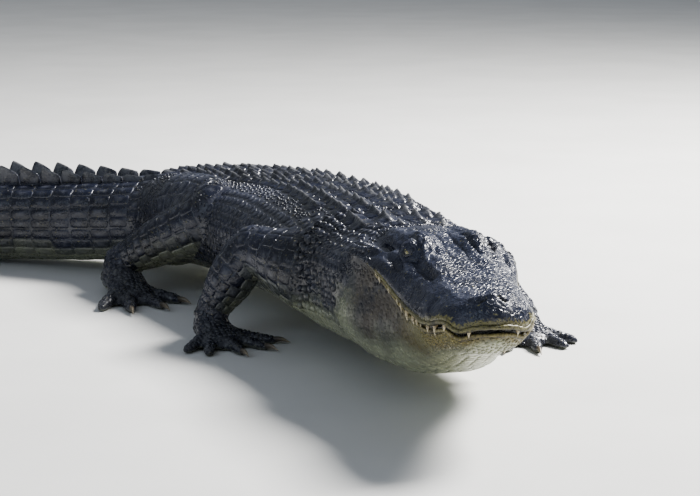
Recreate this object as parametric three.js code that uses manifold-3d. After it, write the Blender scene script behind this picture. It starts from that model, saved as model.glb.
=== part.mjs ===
// American alligator, life size: a still model of a big adult that walks slowly over flat ground.
// It stands low on four feet with its tail along the ground, its trunk bent and its head held up.
// Units are millimetres, +Z is up and the ground is z = 0. +X runs from the tail towards the head.

import * as THREE from "three";
import { ConvexGeometry } from "three/addons/geometries/ConvexGeometry.js";
import { LoftGeometry } from "three/addons/geometries/LoftGeometry.js";
import { mergeVertices } from "three/addons/utils/BufferGeometryUtils.js";
import Module from "manifold-3d";

const wasm = await Module();
wasm.setup();

// Driving dimensions
const HEAD = 390; // snout tip to the back of the skull
const NECK = 200; // back of the skull to the shoulders
const TRUNK = 700; // shoulders to hips
const TAIL = 1460; // hips to the tip of the tail
const MOUTH_HEIGHT = 170; // the lips over the ground
const GAP = 0.3; // between neighbouring sub-parts

const SHOULDER = NECK;
const HIP = NECK + TRUNK;
const TAIL_TIP = HIP + TAIL;
const NAPE = 0.1 * HEAD; // where the head ends and the neck begins

// Rows of scutes on the trunk and whorls of scales on the tail
const ROW = 41; // length of one row, nose to tail
const ROWS = 18;
const FIRST_ROW = SHOULDER + 3;
const FIRST_WHORL = FIRST_ROW + ROWS * ROW;
const WHORL = 43;
const WHORLS = 33;

// Stations along the body, from the back of the skull to the tip of the tail.
// Each row: distance, way it faces in degrees, lean to the left, height of its middle,
// half width, rise to the back, drop to the belly, and how square back and belly are.
// The flesh leans to the right where the neck and chest bend that way.
const BODY_COLUMNS = ["at", "faces", "lean", "middle", "wide", "rise", "drop", "back", "belly"];
const BODY = [
  [0, -81.2, 0, 150, 124, 74, 112, 2.2, 3.1],
  [0.2 * NECK, -80.8, -15, 150, 125, 72, 112, 2.2, 3.1],
  [0.6 * NECK, -78, -26, 148, 128, 72, 112, 2.1, 3.1],
  [SHOULDER, -76, -33, 146, 136, 76, 112, 2.1, 3.1],
  [SHOULDER + 0.2 * TRUNK, -72.5, -36, 142, 149, 80, 106, 2.2, 3.0],
  [SHOULDER + 0.5 * TRUNK, -60, -32, 136, 163, 79, 100, 2.4, 2.8],
  [SHOULDER + 0.8 * TRUNK, -42, -18, 128, 150, 74, 92, 2.5, 2.7],
  [HIP, -28, -6, 120, 120, 70, 88, 2.4, 2.5],
  [HIP + 0.07 * TAIL, -21, 0, 109, 98, 63, 85, 2.6, 2.3],
  [HIP + 0.17 * TAIL, -17, 0, 99, 82, 61, 87, 3.0, 2.3],
  [HIP + 0.28 * TAIL, -10, 0, 90, 66, 59, 86, 3.0, 2.3],
  [HIP + 0.42 * TAIL, 8, 0, 66, 50, 50, 68, 2.8, 2.3],
  [HIP + 0.6 * TAIL, 20, 0, 50, 34, 42, 53, 2.5, 2.3],
  [HIP + 0.78 * TAIL, 18, 0, 36, 22, 30, 39, 2.3, 2.3],
  [HIP + 0.93 * TAIL, 5, 0, 22, 11, 18, 25, 2.2, 2.2],
  [TAIL_TIP, -5, 0, 9, 3, 5, 10, 2.0, 2.0],
];

// Stations along the head, in head lengths from the back of the skull to the snout tip.
// Each row: distance, half width, crown over the mouth, throat under the mouth, lip height.
const HEAD_COLUMNS = ["at", "wide", "crown", "throat", "lip"];
const HEAD_ROWS = [
  [-0.1, 0.272, 0.14, 0.335, 0.042],
  [0.0, 0.276, 0.156, 0.34, 0.052],
  [0.12, 0.268, 0.16, 0.34, 0.058],
  [0.25, 0.246, 0.156, 0.33, 0.034],
  [0.4, 0.213, 0.13, 0.282, -0.016],
  [0.55, 0.19, 0.108, 0.222, -0.04],
  [0.7, 0.182, 0.096, 0.157, -0.04],
  [0.8, 0.168, 0.088, 0.125, -0.027],
  [0.9, 0.151, 0.084, 0.1, -0.002],
  [0.95, 0.143, 0.082, 0.088, -0.02],
  [1.0, 0.136, 0.078, 0.08, 0.0],
];
const BLUNT_FROM = 0.84; // where the round end of the snout begins

// Smooth curve through the rows of a table, without overshoot.
function through(rows, columns, at) {
  const last = rows.length - 2;
  let i = 0;
  while (i < last && rows[i + 1][0] < at) i += 1;
  const step = rows[i + 1][0] - rows[i][0];
  const t = THREE.MathUtils.clamp((at - rows[i][0]) / step, 0, 1);
  const slope = (k, column) => {
    if (k < 1 || k > last) return 0;
    const before = (rows[k][column] - rows[k - 1][column]) / (rows[k][0] - rows[k - 1][0]);
    const after = (rows[k + 1][column] - rows[k][column]) / (rows[k + 1][0] - rows[k][0]);
    return before * after > 0 ? (2 * before * after) / (before + after) : 0;
  };
  const found = {};
  columns.forEach((name, column) => {
    const start = rows[i][column];
    const rise = rows[i + 1][column] - start;
    const first = slope(i, column) * step;
    const second = slope(i + 1, column) * step;
    found[name] =
      start + t * (first + t * (3 * rise - 2 * first - second + t * (first + second - 2 * rise)));
  });
  return found;
}

const bump = (value, centre, width) => Math.exp(-(((value - centre) / width) ** 2));
const ease = (value, from, to) => THREE.MathUtils.smoothstep(value, from, to);
const power = (value, exponent) => Math.sign(value) * Math.abs(value) ** exponent;

// The spine on the ground plan, walked back from the skull in short steps.
const STRIDE = 5;
const walked = [new THREE.Vector2(0, 0)];
for (let at = 0; at < TAIL_TIP; at += STRIDE) {
  const way = THREE.MathUtils.degToRad(through(BODY, BODY_COLUMNS, at + STRIDE / 2).faces);
  const here = walked[walked.length - 1];
  walked.push(new THREE.Vector2(here.x - STRIDE * Math.cos(way), here.y - STRIDE * Math.sin(way)));
}

// The body's own axes at a distance along the spine: origin, ahead, left and up.
function spine(at) {
  const station = through(BODY, BODY_COLUMNS, at);
  const way = THREE.MathUtils.degToRad(station.faces);
  const ahead = new THREE.Vector3(Math.cos(way), Math.sin(way), 0);
  const left = new THREE.Vector3(-Math.sin(way), Math.cos(way), 0);
  const k = THREE.MathUtils.clamp(Math.floor(at / STRIDE), 0, walked.length - 2);
  const plan = walked[k].clone().lerp(walked[k + 1], at / STRIDE - k);
  const origin = new THREE.Vector3(plan.x, plan.y, station.middle);
  origin.addScaledVector(left, station.lean);
  return { station, origin, ahead, left, up: new THREE.Vector3(0, 0, 1) };
}

// A point on the body's skin: angle 0 is the left side, 90 degrees the back.
function bodyPoint(at, angle, grow = 0) {
  const { station, origin, left, up } = spine(at);
  const [c, s] = [Math.cos(angle), Math.sin(angle)];
  const square = s > 0 ? station.back : station.belly;
  const reach = s > 0 ? station.rise : station.drop;
  return origin
    .addScaledVector(left, (station.wide + grow) * power(c, 2 / square))
    .addScaledVector(up, (reach + grow) * power(s, 2 / square));
}

// Solids from closed geometries
function solid(geometry) {
  const bare = new THREE.BufferGeometry().setAttribute("position", geometry.attributes.position);
  const merged = mergeVertices(bare.setIndex(geometry.index), 1e-3);
  const made = new wasm.Manifold(
    new wasm.Mesh({
      numProp: 3,
      vertProperties: merged.attributes.position.array,
      triVerts: new Uint32Array(merged.index.array),
    }),
  );
  if (made.volume() < 0) throw new Error("a geometry is inside out");
  return made;
}

const join = (...pieces) => wasm.Manifold.union(pieces.flat());
const loft = (rings) => solid(new LoftGeometry(rings, { capStart: true, capEnd: true }));
const hull = (points) => solid(new ConvexGeometry(points));

// Keeps what lies ahead of a plane through a point, short of it by half a gap.
function keepAhead(piece, point, normal, gap = GAP / 2) {
  const n = normal.clone().normalize();
  return piece.trimByPlane(n.toArray(), point.dot(n) + gap);
}

const aboveGround = (piece) => piece.trimByPlane([0, 0, 1], 0);

function largest(piece) {
  const bodies = piece.decompose();
  return bodies.sort((a, b) => b.volume() - a.volume())[0];
}

const numbers = (from, to) => Array.from({ length: to - from }, (_, i) => from + i);
const stepsBetween = (from, to, count) =>
  numbers(0, count + 1).map((i) => from + ((to - from) * i) / count);

// The body's rings lie between its rows of scutes and its whorls.
const AROUND = 18;
const NECK_RINGS = 4;
const RINGS = [
  ...stepsBetween(NAPE, FIRST_ROW, NECK_RINGS).slice(0, NECK_RINGS),
  ...stepsBetween(FIRST_ROW, FIRST_WHORL, ROWS).slice(0, ROWS),
  ...stepsBetween(FIRST_WHORL, FIRST_WHORL + WHORLS * WHORL, WHORLS),
  TAIL_TIP,
];

function bodyLoft(from, to, grow = 0) {
  const rings = RINGS.filter((at) => at > from + 1 && at < to - 1);
  const angles = stepsBetween(0, -2 * Math.PI, AROUND).slice(0, AROUND);
  return loft([from, ...rings, to].map((at) => angles.map((angle) => bodyPoint(at, angle, grow))));
}

const grownBody = bodyLoft(NAPE, TAIL_TIP, GAP);

// Scutes: keeled plates whose corners follow the skin
function skinFrame(at, angle) {
  const along = bodyPoint(at - 4, angle).sub(bodyPoint(at + 4, angle));
  const across = bodyPoint(at, angle + 0.03).sub(bodyPoint(at, angle - 0.03));
  const out = along.clone().cross(across).negate().normalize();
  return { point: bodyPoint(at, angle), ahead: along.normalize(), out, across: across.length() / 0.06 };
}

const SCUTE_ROOT = 3.5; // how far a plate's root is sunk in the body
const PLATE_GAP = 1.6; // bare skin between plates
function scute(at, angle, length, breadth, keel) {
  const turn = breadth / 2 / skinFrame(at, angle).across;
  const place = (back, side, height) => {
    const frame = skinFrame(at + back * length, angle + side * turn);
    return frame.point.addScaledVector(frame.out, height);
  };
  const points = [];
  for (const back of [-0.5, 0.5])
    for (const side of [-1, 1]) points.push(place(back, side, -SCUTE_ROOT));
  points.push(place(-0.44, 0, 0.35 * keel));
  points.push(place(0.32, 0, keel));
  points.push(place(0.48, 0, 0.6 * keel));
  return hull(points);
}

// Trunk scutes stand in rows across the back, more of them where the trunk is widest.
const PLATE_BREADTH = 45;
function backPlates(row, grow = 0) {
  const at = FIRST_ROW + (row + 0.5) * ROW;
  const share = (at - SHOULDER) / TRUNK;
  const pairs = 2 + ease(share, 0.02, 0.2) - ease(share, 0.75, 1);
  const shrink = 1 - 0.12 * share;
  const plates = [];
  for (const side of [-1, 1])
    for (let k = 0.5; k < pairs + 0.1; k += 1) {
      const breadth = PLATE_BREADTH * (1 - 0.08 * k) * shrink;
      const reach = k * PLATE_BREADTH * (1 - 0.04 * k) * shrink;
      const angle = Math.PI / 2 + (side * reach) / skinFrame(at, Math.PI / 2).across;
      const keel = 10 + 2.5 * Math.sin((k + 0.3) * 1.1) + 1.2 * Math.sin(row * 2.1 + k);
      const [long, broad] = [ROW - PLATE_GAP + 3 * grow, breadth - PLATE_GAP + 3 * grow];
      plates.push(scute(at, angle, long, broad, keel + 2 * grow));
    }
  return plates;
}

// The nape carries a square of big plates with smaller ones in front and behind.
const NAPE_ROWS = [
  { at: 0.32 * NECK, offsets: [20, 56], breadth: 30, length: 20, keel: 7 },
  { at: 0.56 * NECK, offsets: [25, 70], breadth: 44, length: 42, keel: 15 },
  { at: 0.79 * NECK, offsets: [24, 66], breadth: 42, length: 40, keel: 14 },
  { at: 0.95 * NECK, offsets: [20, 52], breadth: 30, length: 18, keel: 8 },
];
const napePlates = () =>
  NAPE_ROWS.flatMap(({ at, offsets, breadth, length, keel }) =>
    offsets.flatMap((offset) =>
      [-1, 1].map((side) => {
        const angle = Math.PI / 2 + (side * offset) / skinFrame(at, Math.PI / 2).across;
        return scute(at, angle, length, breadth, keel);
      }),
    ),
  );

// One blade of a crest: a leaning fin with its root in the tail
function blade(at, lean, apart, length, height, thick) {
  const place = (back, side, rise) => {
    const { station, origin, left, up } = spine(at + back * length);
    return origin
      .addScaledVector(left, station.wide * apart + side * thick + lean * Math.max(rise, 0))
      .addScaledVector(up, station.rise + rise);
  };
  const root = -0.3 * spine(at).station.rise;
  const points = [];
  for (const side of [-1, 1]) {
    points.push(place(-0.5, side, root), place(0.5, side, root));
    points.push(place(-0.1, side * 0.3, 0.78 * height), place(0.34, side * 0.3, height));
  }
  points.push(place(-0.5, 0, 0.45 * height), place(0.5, 0, 0.45 * height));
  return hull(points);
}

// The tail has two crests on its thick part, then one crest to the tip.
const CREST_MERGES = 16; // whorls with two blades
function whorl(k) {
  const at = FIRST_WHORL + (k + 0.5) * WHORL;
  const share = (at - HIP) / TAIL;
  if (k >= CREST_MERGES) {
    const height = 34 * (1 - 0.75 * ease(share, 0.6, 1));
    return [blade(at, 0, 0, WHORL - PLATE_GAP, height, 6 - 4.4 * ease(share, 0.5, 1))];
  }
  const height = 6 + 32 * ease(share, 0, 0.27);
  const apart = 0.34 - 0.17 * ease(share, 0.2, 0.5);
  return [-1, 1].map((side) =>
    blade(at, side * 0.25, side * apart, WHORL - PLATE_GAP, height, 6),
  );
}

// A stretch of body with its plates, short of its neighbours by half a gap at each end
function stretch(from, to, plates) {
  const end = to < TAIL_TIP ? to - GAP / 2 : to;
  return largest(aboveGround(join(bodyLoft(from + GAP / 2, end), plates)));
}

// The head in its own axes, in head lengths: x ahead, y left, z up from the mouth
// The jowls follow the lean of the neck.
const headFrame = spine(0);
function headPlace(x, y, z) {
  const nape = 1 - ease(x, -0.1, 0.36);
  return new THREE.Vector3(headFrame.origin.x, headFrame.origin.y, MOUTH_HEIGHT)
    .addScaledVector(headFrame.ahead, x * HEAD)
    .addScaledVector(headFrame.left, (y - 0.038 * nape) * HEAD)
    .addScaledVector(headFrame.up, z * HEAD);
}

function headStation(x) {
  const station = through(HEAD_ROWS, HEAD_COLUMNS, x);
  const nose = Math.max(x - BLUNT_FROM, 0) / (1 - BLUNT_FROM);
  station.wide *= Math.sqrt(Math.max(1 - nose ** 2.3, 0));
  station.crown = station.lip + (station.crown - station.lip) * (1 - 0.55 * nose ** 5);
  station.throat *= 1 - 0.45 * nose ** 4;
  return station;
}

// Raised and sunk forms on top of the skull, over x and the distance from the midline.
const EYE = { x: 0.3, y: 0.122, z: 0.118, ball: 0.04 };
function headForms(x, side) {
  const table = ease(x, -0.1, -0.04) * (1 - ease(x, 0.16, 0.24));
  return (
    0.036 * bump(x, EYE.x - 0.01, 0.085) * bump(side, 0.094, 0.038) -
    0.016 * bump(x, EYE.x, 0.09) * bump(side, 0, 0.04) -
    0.03 * bump(x, EYE.x, 0.11) * bump(side, 0.19, 0.032) +
    0.014 * table * bump(side, 0.125, 0.024) -
    0.03 * table * bump(side, 0.185, 0.03) +
    0.012 * bump(x, 0.5, 0.13) * bump(side, 0.08, 0.03) +
    0.024 * bump(x, 0.945, 0.045) * bump(side, 0, 0.062) -
    0.01 * bump(x, 0.84, 0.05) * bump(side, 0, 0.07) +
    0.01 * bump(x, 0.7, 0.06) * bump(side, 0.15, 0.04)
  );
}

// A point on the upper side of the head: angle 0 is the left lip, 90 degrees the crown.
function crownPoint(x, angle) {
  const { wide, crown, lip } = headStation(x);
  const boxy = 1.75 + 0.75 * ease(x, 0.05, 0.5);
  const [c, s] = [Math.cos(angle), Math.sin(angle)];
  const y = wide * power(c, 2 / boxy) * (1 + 0.03 * bump(s, 0.16, 0.14));
  const z = lip + (crown - lip) * Math.abs(s) ** (2 / boxy);
  return headPlace(x, y, z + headForms(x, Math.abs(y)) * ease(s, 0.15, 0.7));
}

// A point on the lower jaw and throat: angle 0 is the left edge, -90 degrees the throat.
const JAW_INSET = 0.07; // how far the upper lip overhangs the lower jaw, by share of width
function throatPoint(x, angle) {
  const { wide, throat, lip } = headStation(x);
  const inset = JAW_INSET * ease(x, 0.0, 0.35);
  const [c, s] = [Math.cos(angle), Math.sin(angle)];
  const rear = 1 - ease(x, 0.1, 0.65);
  const full = 2.2 + 0.8 * rear;
  const jowl = 1 + 0.2 * rear * ease(-s, 0, 0.45);
  const y = wide * (1 - inset) * jowl * power(c, 2 / full);
  return headPlace(x, y, lip - GAP / HEAD - (throat + lip) * Math.abs(s) ** (2 / full));
}

const SNOUT_END = 0.992;
const HEAD_STEPS = stepsBetween(0, 1, 24).map(
  (t) => -NAPE / HEAD + (SNOUT_END + NAPE / HEAD) * (1 - (1 - t) ** 1.3),
);

const crownRing = (x) => stepsBetween(0, Math.PI, 18).map((angle) => crownPoint(x, angle));
const throatRing = (x) => stepsBetween(-Math.PI, 0, 14).map((angle) => throatPoint(x, angle));

function ball(x, y, z, radius, squash = [1, 1, 1], tilt = 0, detail = [10, 7]) {
  const geometry = new THREE.SphereGeometry(radius * HEAD, ...detail);
  const turn = new THREE.Matrix4().makeBasis(headFrame.ahead, headFrame.left, headFrame.up);
  geometry.scale(...squash).rotateY(tilt).applyMatrix4(turn);
  const centre = headPlace(x, y, z);
  return solid(geometry.translate(centre.x, centre.y, centre.z));
}

// Upper teeth show below the lip, biggest beside the nose and at the swelling behind it.
const TEETH = 13; // on each side
const TOOTH_INSET = 4.2;
const TOOTH_ROWS = [
  [0, 8],
  [2, 14],
  [4, 6],
  [7, 15],
  [9, 7],
  [11, 9],
  [TEETH - 1, 6],
];
function teeth(side, grow = 0) {
  return stepsBetween(0, 1, TEETH - 1).map((share, i) => {
    const x = 0.975 - 0.75 * share ** 0.92 - 0.02 * Math.sin(i * 1.9) * share;
    const edge = headStation(x);
    const slope = (headStation(x + 0.004).wide - headStation(x - 0.004).wide) / 0.008;
    const inward = new THREE.Vector2(slope, -1).normalize().multiplyScalar(TOOTH_INSET / HEAD);
    const root = headPlace(x + inward.x, side * (edge.wide + inward.y), edge.lip + 7 / HEAD);
    const shown = through(TOOTH_ROWS, ["at", "long"], i).long;
    const length = shown + 7 + grow;
    const cone = new THREE.ConeGeometry(1.6 + 0.16 * shown + grow, length, 5);
    return solid(cone.rotateX(-Math.PI / 2).translate(root.x, root.y, root.z - length / 2));
  });
}

function headSolids() {
  const crown = loft(HEAD_STEPS.map(crownRing));
  const throat = loft(HEAD_STEPS.map(throatRing));
  const upperTeeth = [...teeth(1), ...teeth(-1)];
  const sockets = [];
  const lids = [];
  const eyes = {};
  for (const [name, side] of [["left", 1], ["right", -1]]) {
    const centre = [EYE.x, side * EYE.y, EYE.z];
    eyes[name] = ball(...centre, EYE.ball);
    lids.push(ball(...centre, EYE.ball + 0.011, [1.12, 1, 0.96]));
    sockets.push(ball(...centre, EYE.ball + GAP / HEAD));
    sockets.push(ball(EYE.x + 0.01, side * (EYE.y + 0.05), EYE.z + 0.006, 0.036, [1, 1, 0.46], 0.22));
    sockets.push(ball(0.955, side * 0.028, 0.116, 0.017, [1.15, 0.62, 1], 0.3, [8, 6]));
    sockets.push(ball(0.13, side * 0.172, 0.122, 0.06, [1, 0.16, 0.16], -0.1, [10, 6]));
    lids.push(ball(0.14, side * 0.16, 0.142, 0.07, [1, 0.2, 0.17], -0.1, [10, 6]));
  }
  const nape = spine(NAPE);
  const skull = join(crown, upperTeeth, lids).subtract(join(sockets));
  const jaw = throat.subtract(join(teeth(1, GAP), teeth(-1, GAP)));
  return {
    head: largest(keepAhead(skull, nape.origin, nape.ahead)),
    lower_jaw: largest(keepAhead(jaw, nape.origin, nape.ahead)),
    eye_left: eyes.left,
    eye_right: eyes.right,
  };
}

// A limb, digit or claw: a tube of oval section with rounded ends
function tube(path, girths, across, rings, sides) {
  const curve = new THREE.CatmullRomCurve3(path, false, "centripetal");
  const length = curve.getLength();
  const columns = ["at", "broad", "deep"];
  const round = girths[girths.length - 1][1];
  const starts = girths[0][1];
  const total = length + round + starts;
  const sections = stepsBetween(0, 1, rings).map((share) => {
    const eased = 0.5 - 0.5 * Math.cos(Math.PI * (0.02 + 0.96 * share));
    const walkedTo = (0.35 * eased + 0.65 * (0.004 + 0.992 * share)) * total - starts;
    const on = THREE.MathUtils.clamp(walkedTo / length, 0, 1);
    const over = walkedTo < 0 ? -walkedTo / starts : Math.max(walkedTo - length, 0) / round;
    const cap = Math.sqrt(Math.max(1 - over ** 2, 0.0009));
    const tangent = curve.getTangentAt(on);
    const side = across.clone().addScaledVector(tangent, -across.dot(tangent)).normalize();
    const other = tangent.clone().cross(side);
    const girth = through(girths, columns, on);
    const centre = curve.getPointAt(on).addScaledVector(tangent, walkedTo - on * length);
    return stepsBetween(0, 2 * Math.PI, sides)
      .slice(0, sides)
      .map((angle) =>
        centre
          .clone()
          .addScaledVector(side, cap * girth.broad * Math.cos(angle))
          .addScaledVector(other, cap * girth.deep * Math.sin(angle)),
      );
  });
  return loft(sections);
}

// Two limb lengths that meet at a joint are cut by the plane that halves its angle.
function mitre(upper, lower, joint, before, after) {
  const inWay = joint.clone().sub(before).normalize();
  const outWay = after.clone().sub(joint).normalize();
  const normal = inWay.add(outWay).normalize();
  return [keepAhead(upper, joint, normal.clone().negate()), keepAhead(lower, joint, normal)];
}

const UP = new THREE.Vector3(0, 0, 1);
const spot = (x, y, z) => new THREE.Vector3(x, y, z);

const wayTo = (degrees) => {
  const turned = THREE.MathUtils.degToRad(degrees);
  return new THREE.Vector3(Math.cos(turned), Math.sin(turned), 0);
};

// One digit lies along the ground from the palm or sole, and may carry a claw.
function digit(start, out, length, r, clawed) {
  const place = (share, height) =>
    start.clone().addScaledVector(out, share * length).setZ(height * r);
  const across = UP.clone().cross(out);
  const girths = [
    [0, r, r],
    [0.5, 0.95 * r, 0.9 * r],
    [0.75, 0.82 * r, 0.78 * r],
    [1, 0.6 * r, 0.62 * r],
  ];
  const flesh = tube([start, place(0.35, 0.8), place(0.7, 0.64), place(1, 0.5)], girths, across, 5, 5);
  if (!clawed) return { flesh };
  const cut = place(0.97, 0.5);
  const beyond = (share, height) =>
    cut.clone().addScaledVector(out, share * r).setZ(height * r);
  const nailGirths = [
    [0, 0.42 * r, 0.46 * r],
    [0.5, 0.3 * r, 0.36 * r],
    [1, 0.09 * r, 0.1 * r],
  ];
  const nail = tube([beyond(-0.2, 0.6), beyond(1.3, 0.75), beyond(2.6, 0.32)], nailGirths, across, 4, 5);
  return {
    flesh: keepAhead(flesh, cut, out.clone().negate()),
    claw: aboveGround(keepAhead(nail, cut, out)),
  };
}

const CLAWED = 3; // inner digits with a claw on each hand and foot

// A hand or foot: wrist, palm, digits that fan out, and webs between the hind toes
function paw(name, above, wrist, faces, plan) {
  const side = name.endsWith("right") ? -1 : 1;
  const ahead = wayTo(faces);
  const left = UP.clone().cross(ahead);
  const from = (forward, height) =>
    wrist.clone().addScaledVector(ahead, forward).setZ(height);
  const heel = from(-plan.heel, 0.44 * wrist.z);
  const ball = from(plan.palm, 0.42 * plan.thick);
  const middle = from(0.3 * plan.palm, 0.44 * wrist.z + 0.08 * plan.thick);
  const pieces = [
    tube([heel, middle, ball], plan.girths, left, 5, 9),
    tube([above, wrist, middle], plan.wrist, left, 5, 8),
  ];
  const claws = {};
  let before;
  plan.digits.forEach(([angle, length], i) => {
    const out = wayTo(faces - side * angle);
    const spread = -side * Math.sin(THREE.MathUtils.degToRad(angle)) * plan.spread;
    const start = from(0.62 * plan.palm, 0.5 * plan.thick).addScaledVector(left, spread);
    const { flesh, claw } = digit(start, out, length, plan.digit, i < CLAWED);
    pieces.push(flesh);
    if (claw) claws[`claw_${name}_${i + 1}`] = claw;
    const reach = start.clone().addScaledVector(out, 0.6 * length);
    if (plan.webbed && before) {
      const corners = [start, reach, before, from(0.5 * plan.palm, 0)];
      pieces.push(hull(corners.flatMap((p) => [p.clone().setZ(2.5), p.clone().setZ(6)])));
    }
    before = reach;
  });
  return { paw: join(pieces), claws };
}

const HAND = {
  palm: 62,
  heel: 8,
  thick: 24,
  spread: 34,
  digit: 10.5,
  wrist: [
    [0, 26, 23],
    [0.5, 25, 22],
    [1, 27, 17],
  ],
  girths: [
    [0, 24, 19],
    [0.45, 31, 17],
    [1, 30, 12],
  ],
  digits: [
    [52, 62],
    [24, 78],
    [0, 82],
    [-26, 72],
    [-52, 54],
  ],
};
const FOOT = {
  palm: 92,
  heel: 26,
  thick: 28,
  spread: 36,
  digit: 12,
  webbed: true,
  wrist: [
    [0, 31, 28],
    [0.5, 29, 26],
    [1, 31, 20],
  ],
  girths: [
    [0, 26, 22],
    [0.4, 35, 21],
    [1, 33, 14],
  ],
  digits: [
    [34, 84],
    [12, 104],
    [-10, 108],
    [-32, 92],
  ],
};

// Limbs: each from its root in the body to the wrist or ankle.
function limbs() {
  const [shoulders, hips] = [spine(SHOULDER), spine(HIP)];
  const beside = (girdle, out, forward, height) =>
    girdle.origin
      .clone()
      .addScaledVector(girdle.left, out)
      .addScaledVector(girdle.ahead, forward)
      .setZ(height);
  const plans = [
    {
      names: ["upper_arm_right", "forearm_right", "hand_right"],
      root: beside(shoulders, -88, 0, 120),
      joint: spot(-271, 255, 150),
      end: spot(-340, 268, 40),
      faces: -62,
      girths: [[[0, 66, 50], [0.45, 52, 45], [1, 34, 33]], [[0, 34, 33], [0.35, 37, 33], [1, 24, 21]]],
      plan: HAND,
    },
    {
      names: ["upper_arm_left", "forearm_left", "hand_left"],
      root: beside(shoulders, 88, 0, 112),
      joint: spot(62, 385, 112),
      end: spot(151, 297, 40),
      faces: -82,
      girths: [[[0, 66, 50], [0.45, 52, 45], [1, 34, 33]], [[0, 34, 33], [0.35, 37, 33], [1, 24, 21]]],
      plan: HAND,
    },
    {
      names: ["thigh_right", "shank_right", "foot_right"],
      root: beside(hips, -62, 0, 112),
      joint: spot(-334, 537, 155),
      end: spot(-521, 612, 55),
      faces: -68,
      girths: [[[0, 80, 64], [0.5, 72, 58], [1, 52, 50]], [[0, 52, 50], [0.35, 46, 42], [1, 27, 25]]],
      plan: FOOT,
    },
    {
      names: ["thigh_left", "shank_left", "foot_left"],
      root: beside(hips, 62, 0, 108),
      joint: spot(-271, 952, 128),
      end: spot(-393, 1060, 52),
      faces: 10,
      girths: [[[0, 78, 60], [0.5, 66, 52], [1, 44, 42]], [[0, 44, 42], [0.35, 46, 40], [1, 27, 24]]],
      plan: FOOT,
    },
  ];
  const grownBack = join(grownBody, numbers(0, ROWS).flatMap((row) => backPlates(row, GAP)));
  const found = {};
  for (const { names, root, joint, end, faces, girths, plan } of plans) {
    const upperTube = tube([root, joint], girths[0], UP, 8, 10);
    const lowerTube = tube([joint, end], girths[1], UP, 8, 10);
    const above = joint.clone().lerp(end, 0.75);
    const toes = end.clone().addScaledVector(wayTo(faces), plan.palm).setZ(plan.thick / 2);
    const { paw: whole, claws } = paw(names[2], above, end, faces, plan);
    const [upper, middle] = mitre(upperTube, lowerTube, joint, root, end);
    const [lower, foot] = mitre(middle, whole, end, joint, toes);
    found[names[0]] = largest(aboveGround(upper.subtract(grownBack)));
    found[names[1]] = largest(aboveGround(lower.subtract(grownBody)));
    found[names[2]] = largest(aboveGround(foot));
    Object.assign(found, claws);
  }
  return found;
}

// Finishes
const finish = (colour, roughness) =>
  new THREE.MeshStandardMaterial({ color: colour, roughness, metalness: 0 });
const FINISHES = {
  skin: finish(0x23252b, 0.5),
  jaw: finish(0x8c8a5e, 0.6),
  eye: finish(0x6d5a24, 0.15),
  claw: finish(0x1c1a18, 0.4),
};

function finishOf(name) {
  if (name.startsWith("eye")) return FINISHES.eye;
  if (name.startsWith("claw")) return FINISHES.claw;
  return name === "lower_jaw" ? FINISHES.jaw : FINISHES.skin;
}

function meshOf(name, piece) {
  const { vertProperties, triVerts } = piece.getMesh();
  const geometry = new THREE.BufferGeometry();
  geometry.setAttribute("position", new THREE.BufferAttribute(new Float32Array(vertProperties), 3));
  geometry.setIndex(new THREE.BufferAttribute(new Uint32Array(triVerts), 1));
  geometry.computeVertexNormals();
  const mesh = new THREE.Mesh(geometry, finishOf(name));
  mesh.name = name;
  return mesh;
}

function trunkLength(firstRow, lastRow) {
  const [from, to] = [FIRST_ROW + firstRow * ROW, FIRST_ROW + lastRow * ROW];
  const plates = numbers(firstRow, lastRow).flatMap((row) => backPlates(row));
  return stretch(from, to, plates);
}

function tailLength(first, last) {
  const from = FIRST_WHORL + first * WHORL;
  const to = last < WHORLS ? FIRST_WHORL + last * WHORL : TAIL_TIP;
  return stretch(from, to, numbers(first, last).flatMap(whorl));
}

const solids = {
  ...headSolids(),
  neck: stretch(NAPE, FIRST_ROW, napePlates()),
  chest: trunkLength(0, 6),
  belly: trunkLength(6, 12),
  pelvis: trunkLength(12, ROWS),
  tail_1: tailLength(0, 6),
  tail_2: tailLength(6, 13),
  tail_3: tailLength(13, 19),
  tail_4: tailLength(19, 26),
  tail_tip: tailLength(26, WHORLS),
};
Object.assign(solids, limbs());

const alligator = new THREE.Group();
for (const [name, piece] of Object.entries(solids)) alligator.add(meshOf(name, piece));

// The origin goes to the ground under the middle of the whole animal.
const box = new THREE.Box3().setFromObject(alligator);
const middle = box.getCenter(new THREE.Vector3()).setZ(box.min.z);
for (const mesh of alligator.children) mesh.geometry.translate(-middle.x, -middle.y, -middle.z);

export default alligator;
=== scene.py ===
# %% [markdown]
# # An american alligator, life size
# A big adult walks slowly over flat ground with its head held up and its trunk bent.
# The imported solids give every place and size. This lesson dresses them: one seamless hide takes
# the place of the flesh, and plates, crests and thousands of scales are laid on it as solid mesh.
# The solids are loaded first.

import math
from itertools import product

import bmesh
import bpy
import numpy as np
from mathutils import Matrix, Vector
from mathutils.bvhtree import BVHTree
from mathutils.kdtree import KDTree


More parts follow.
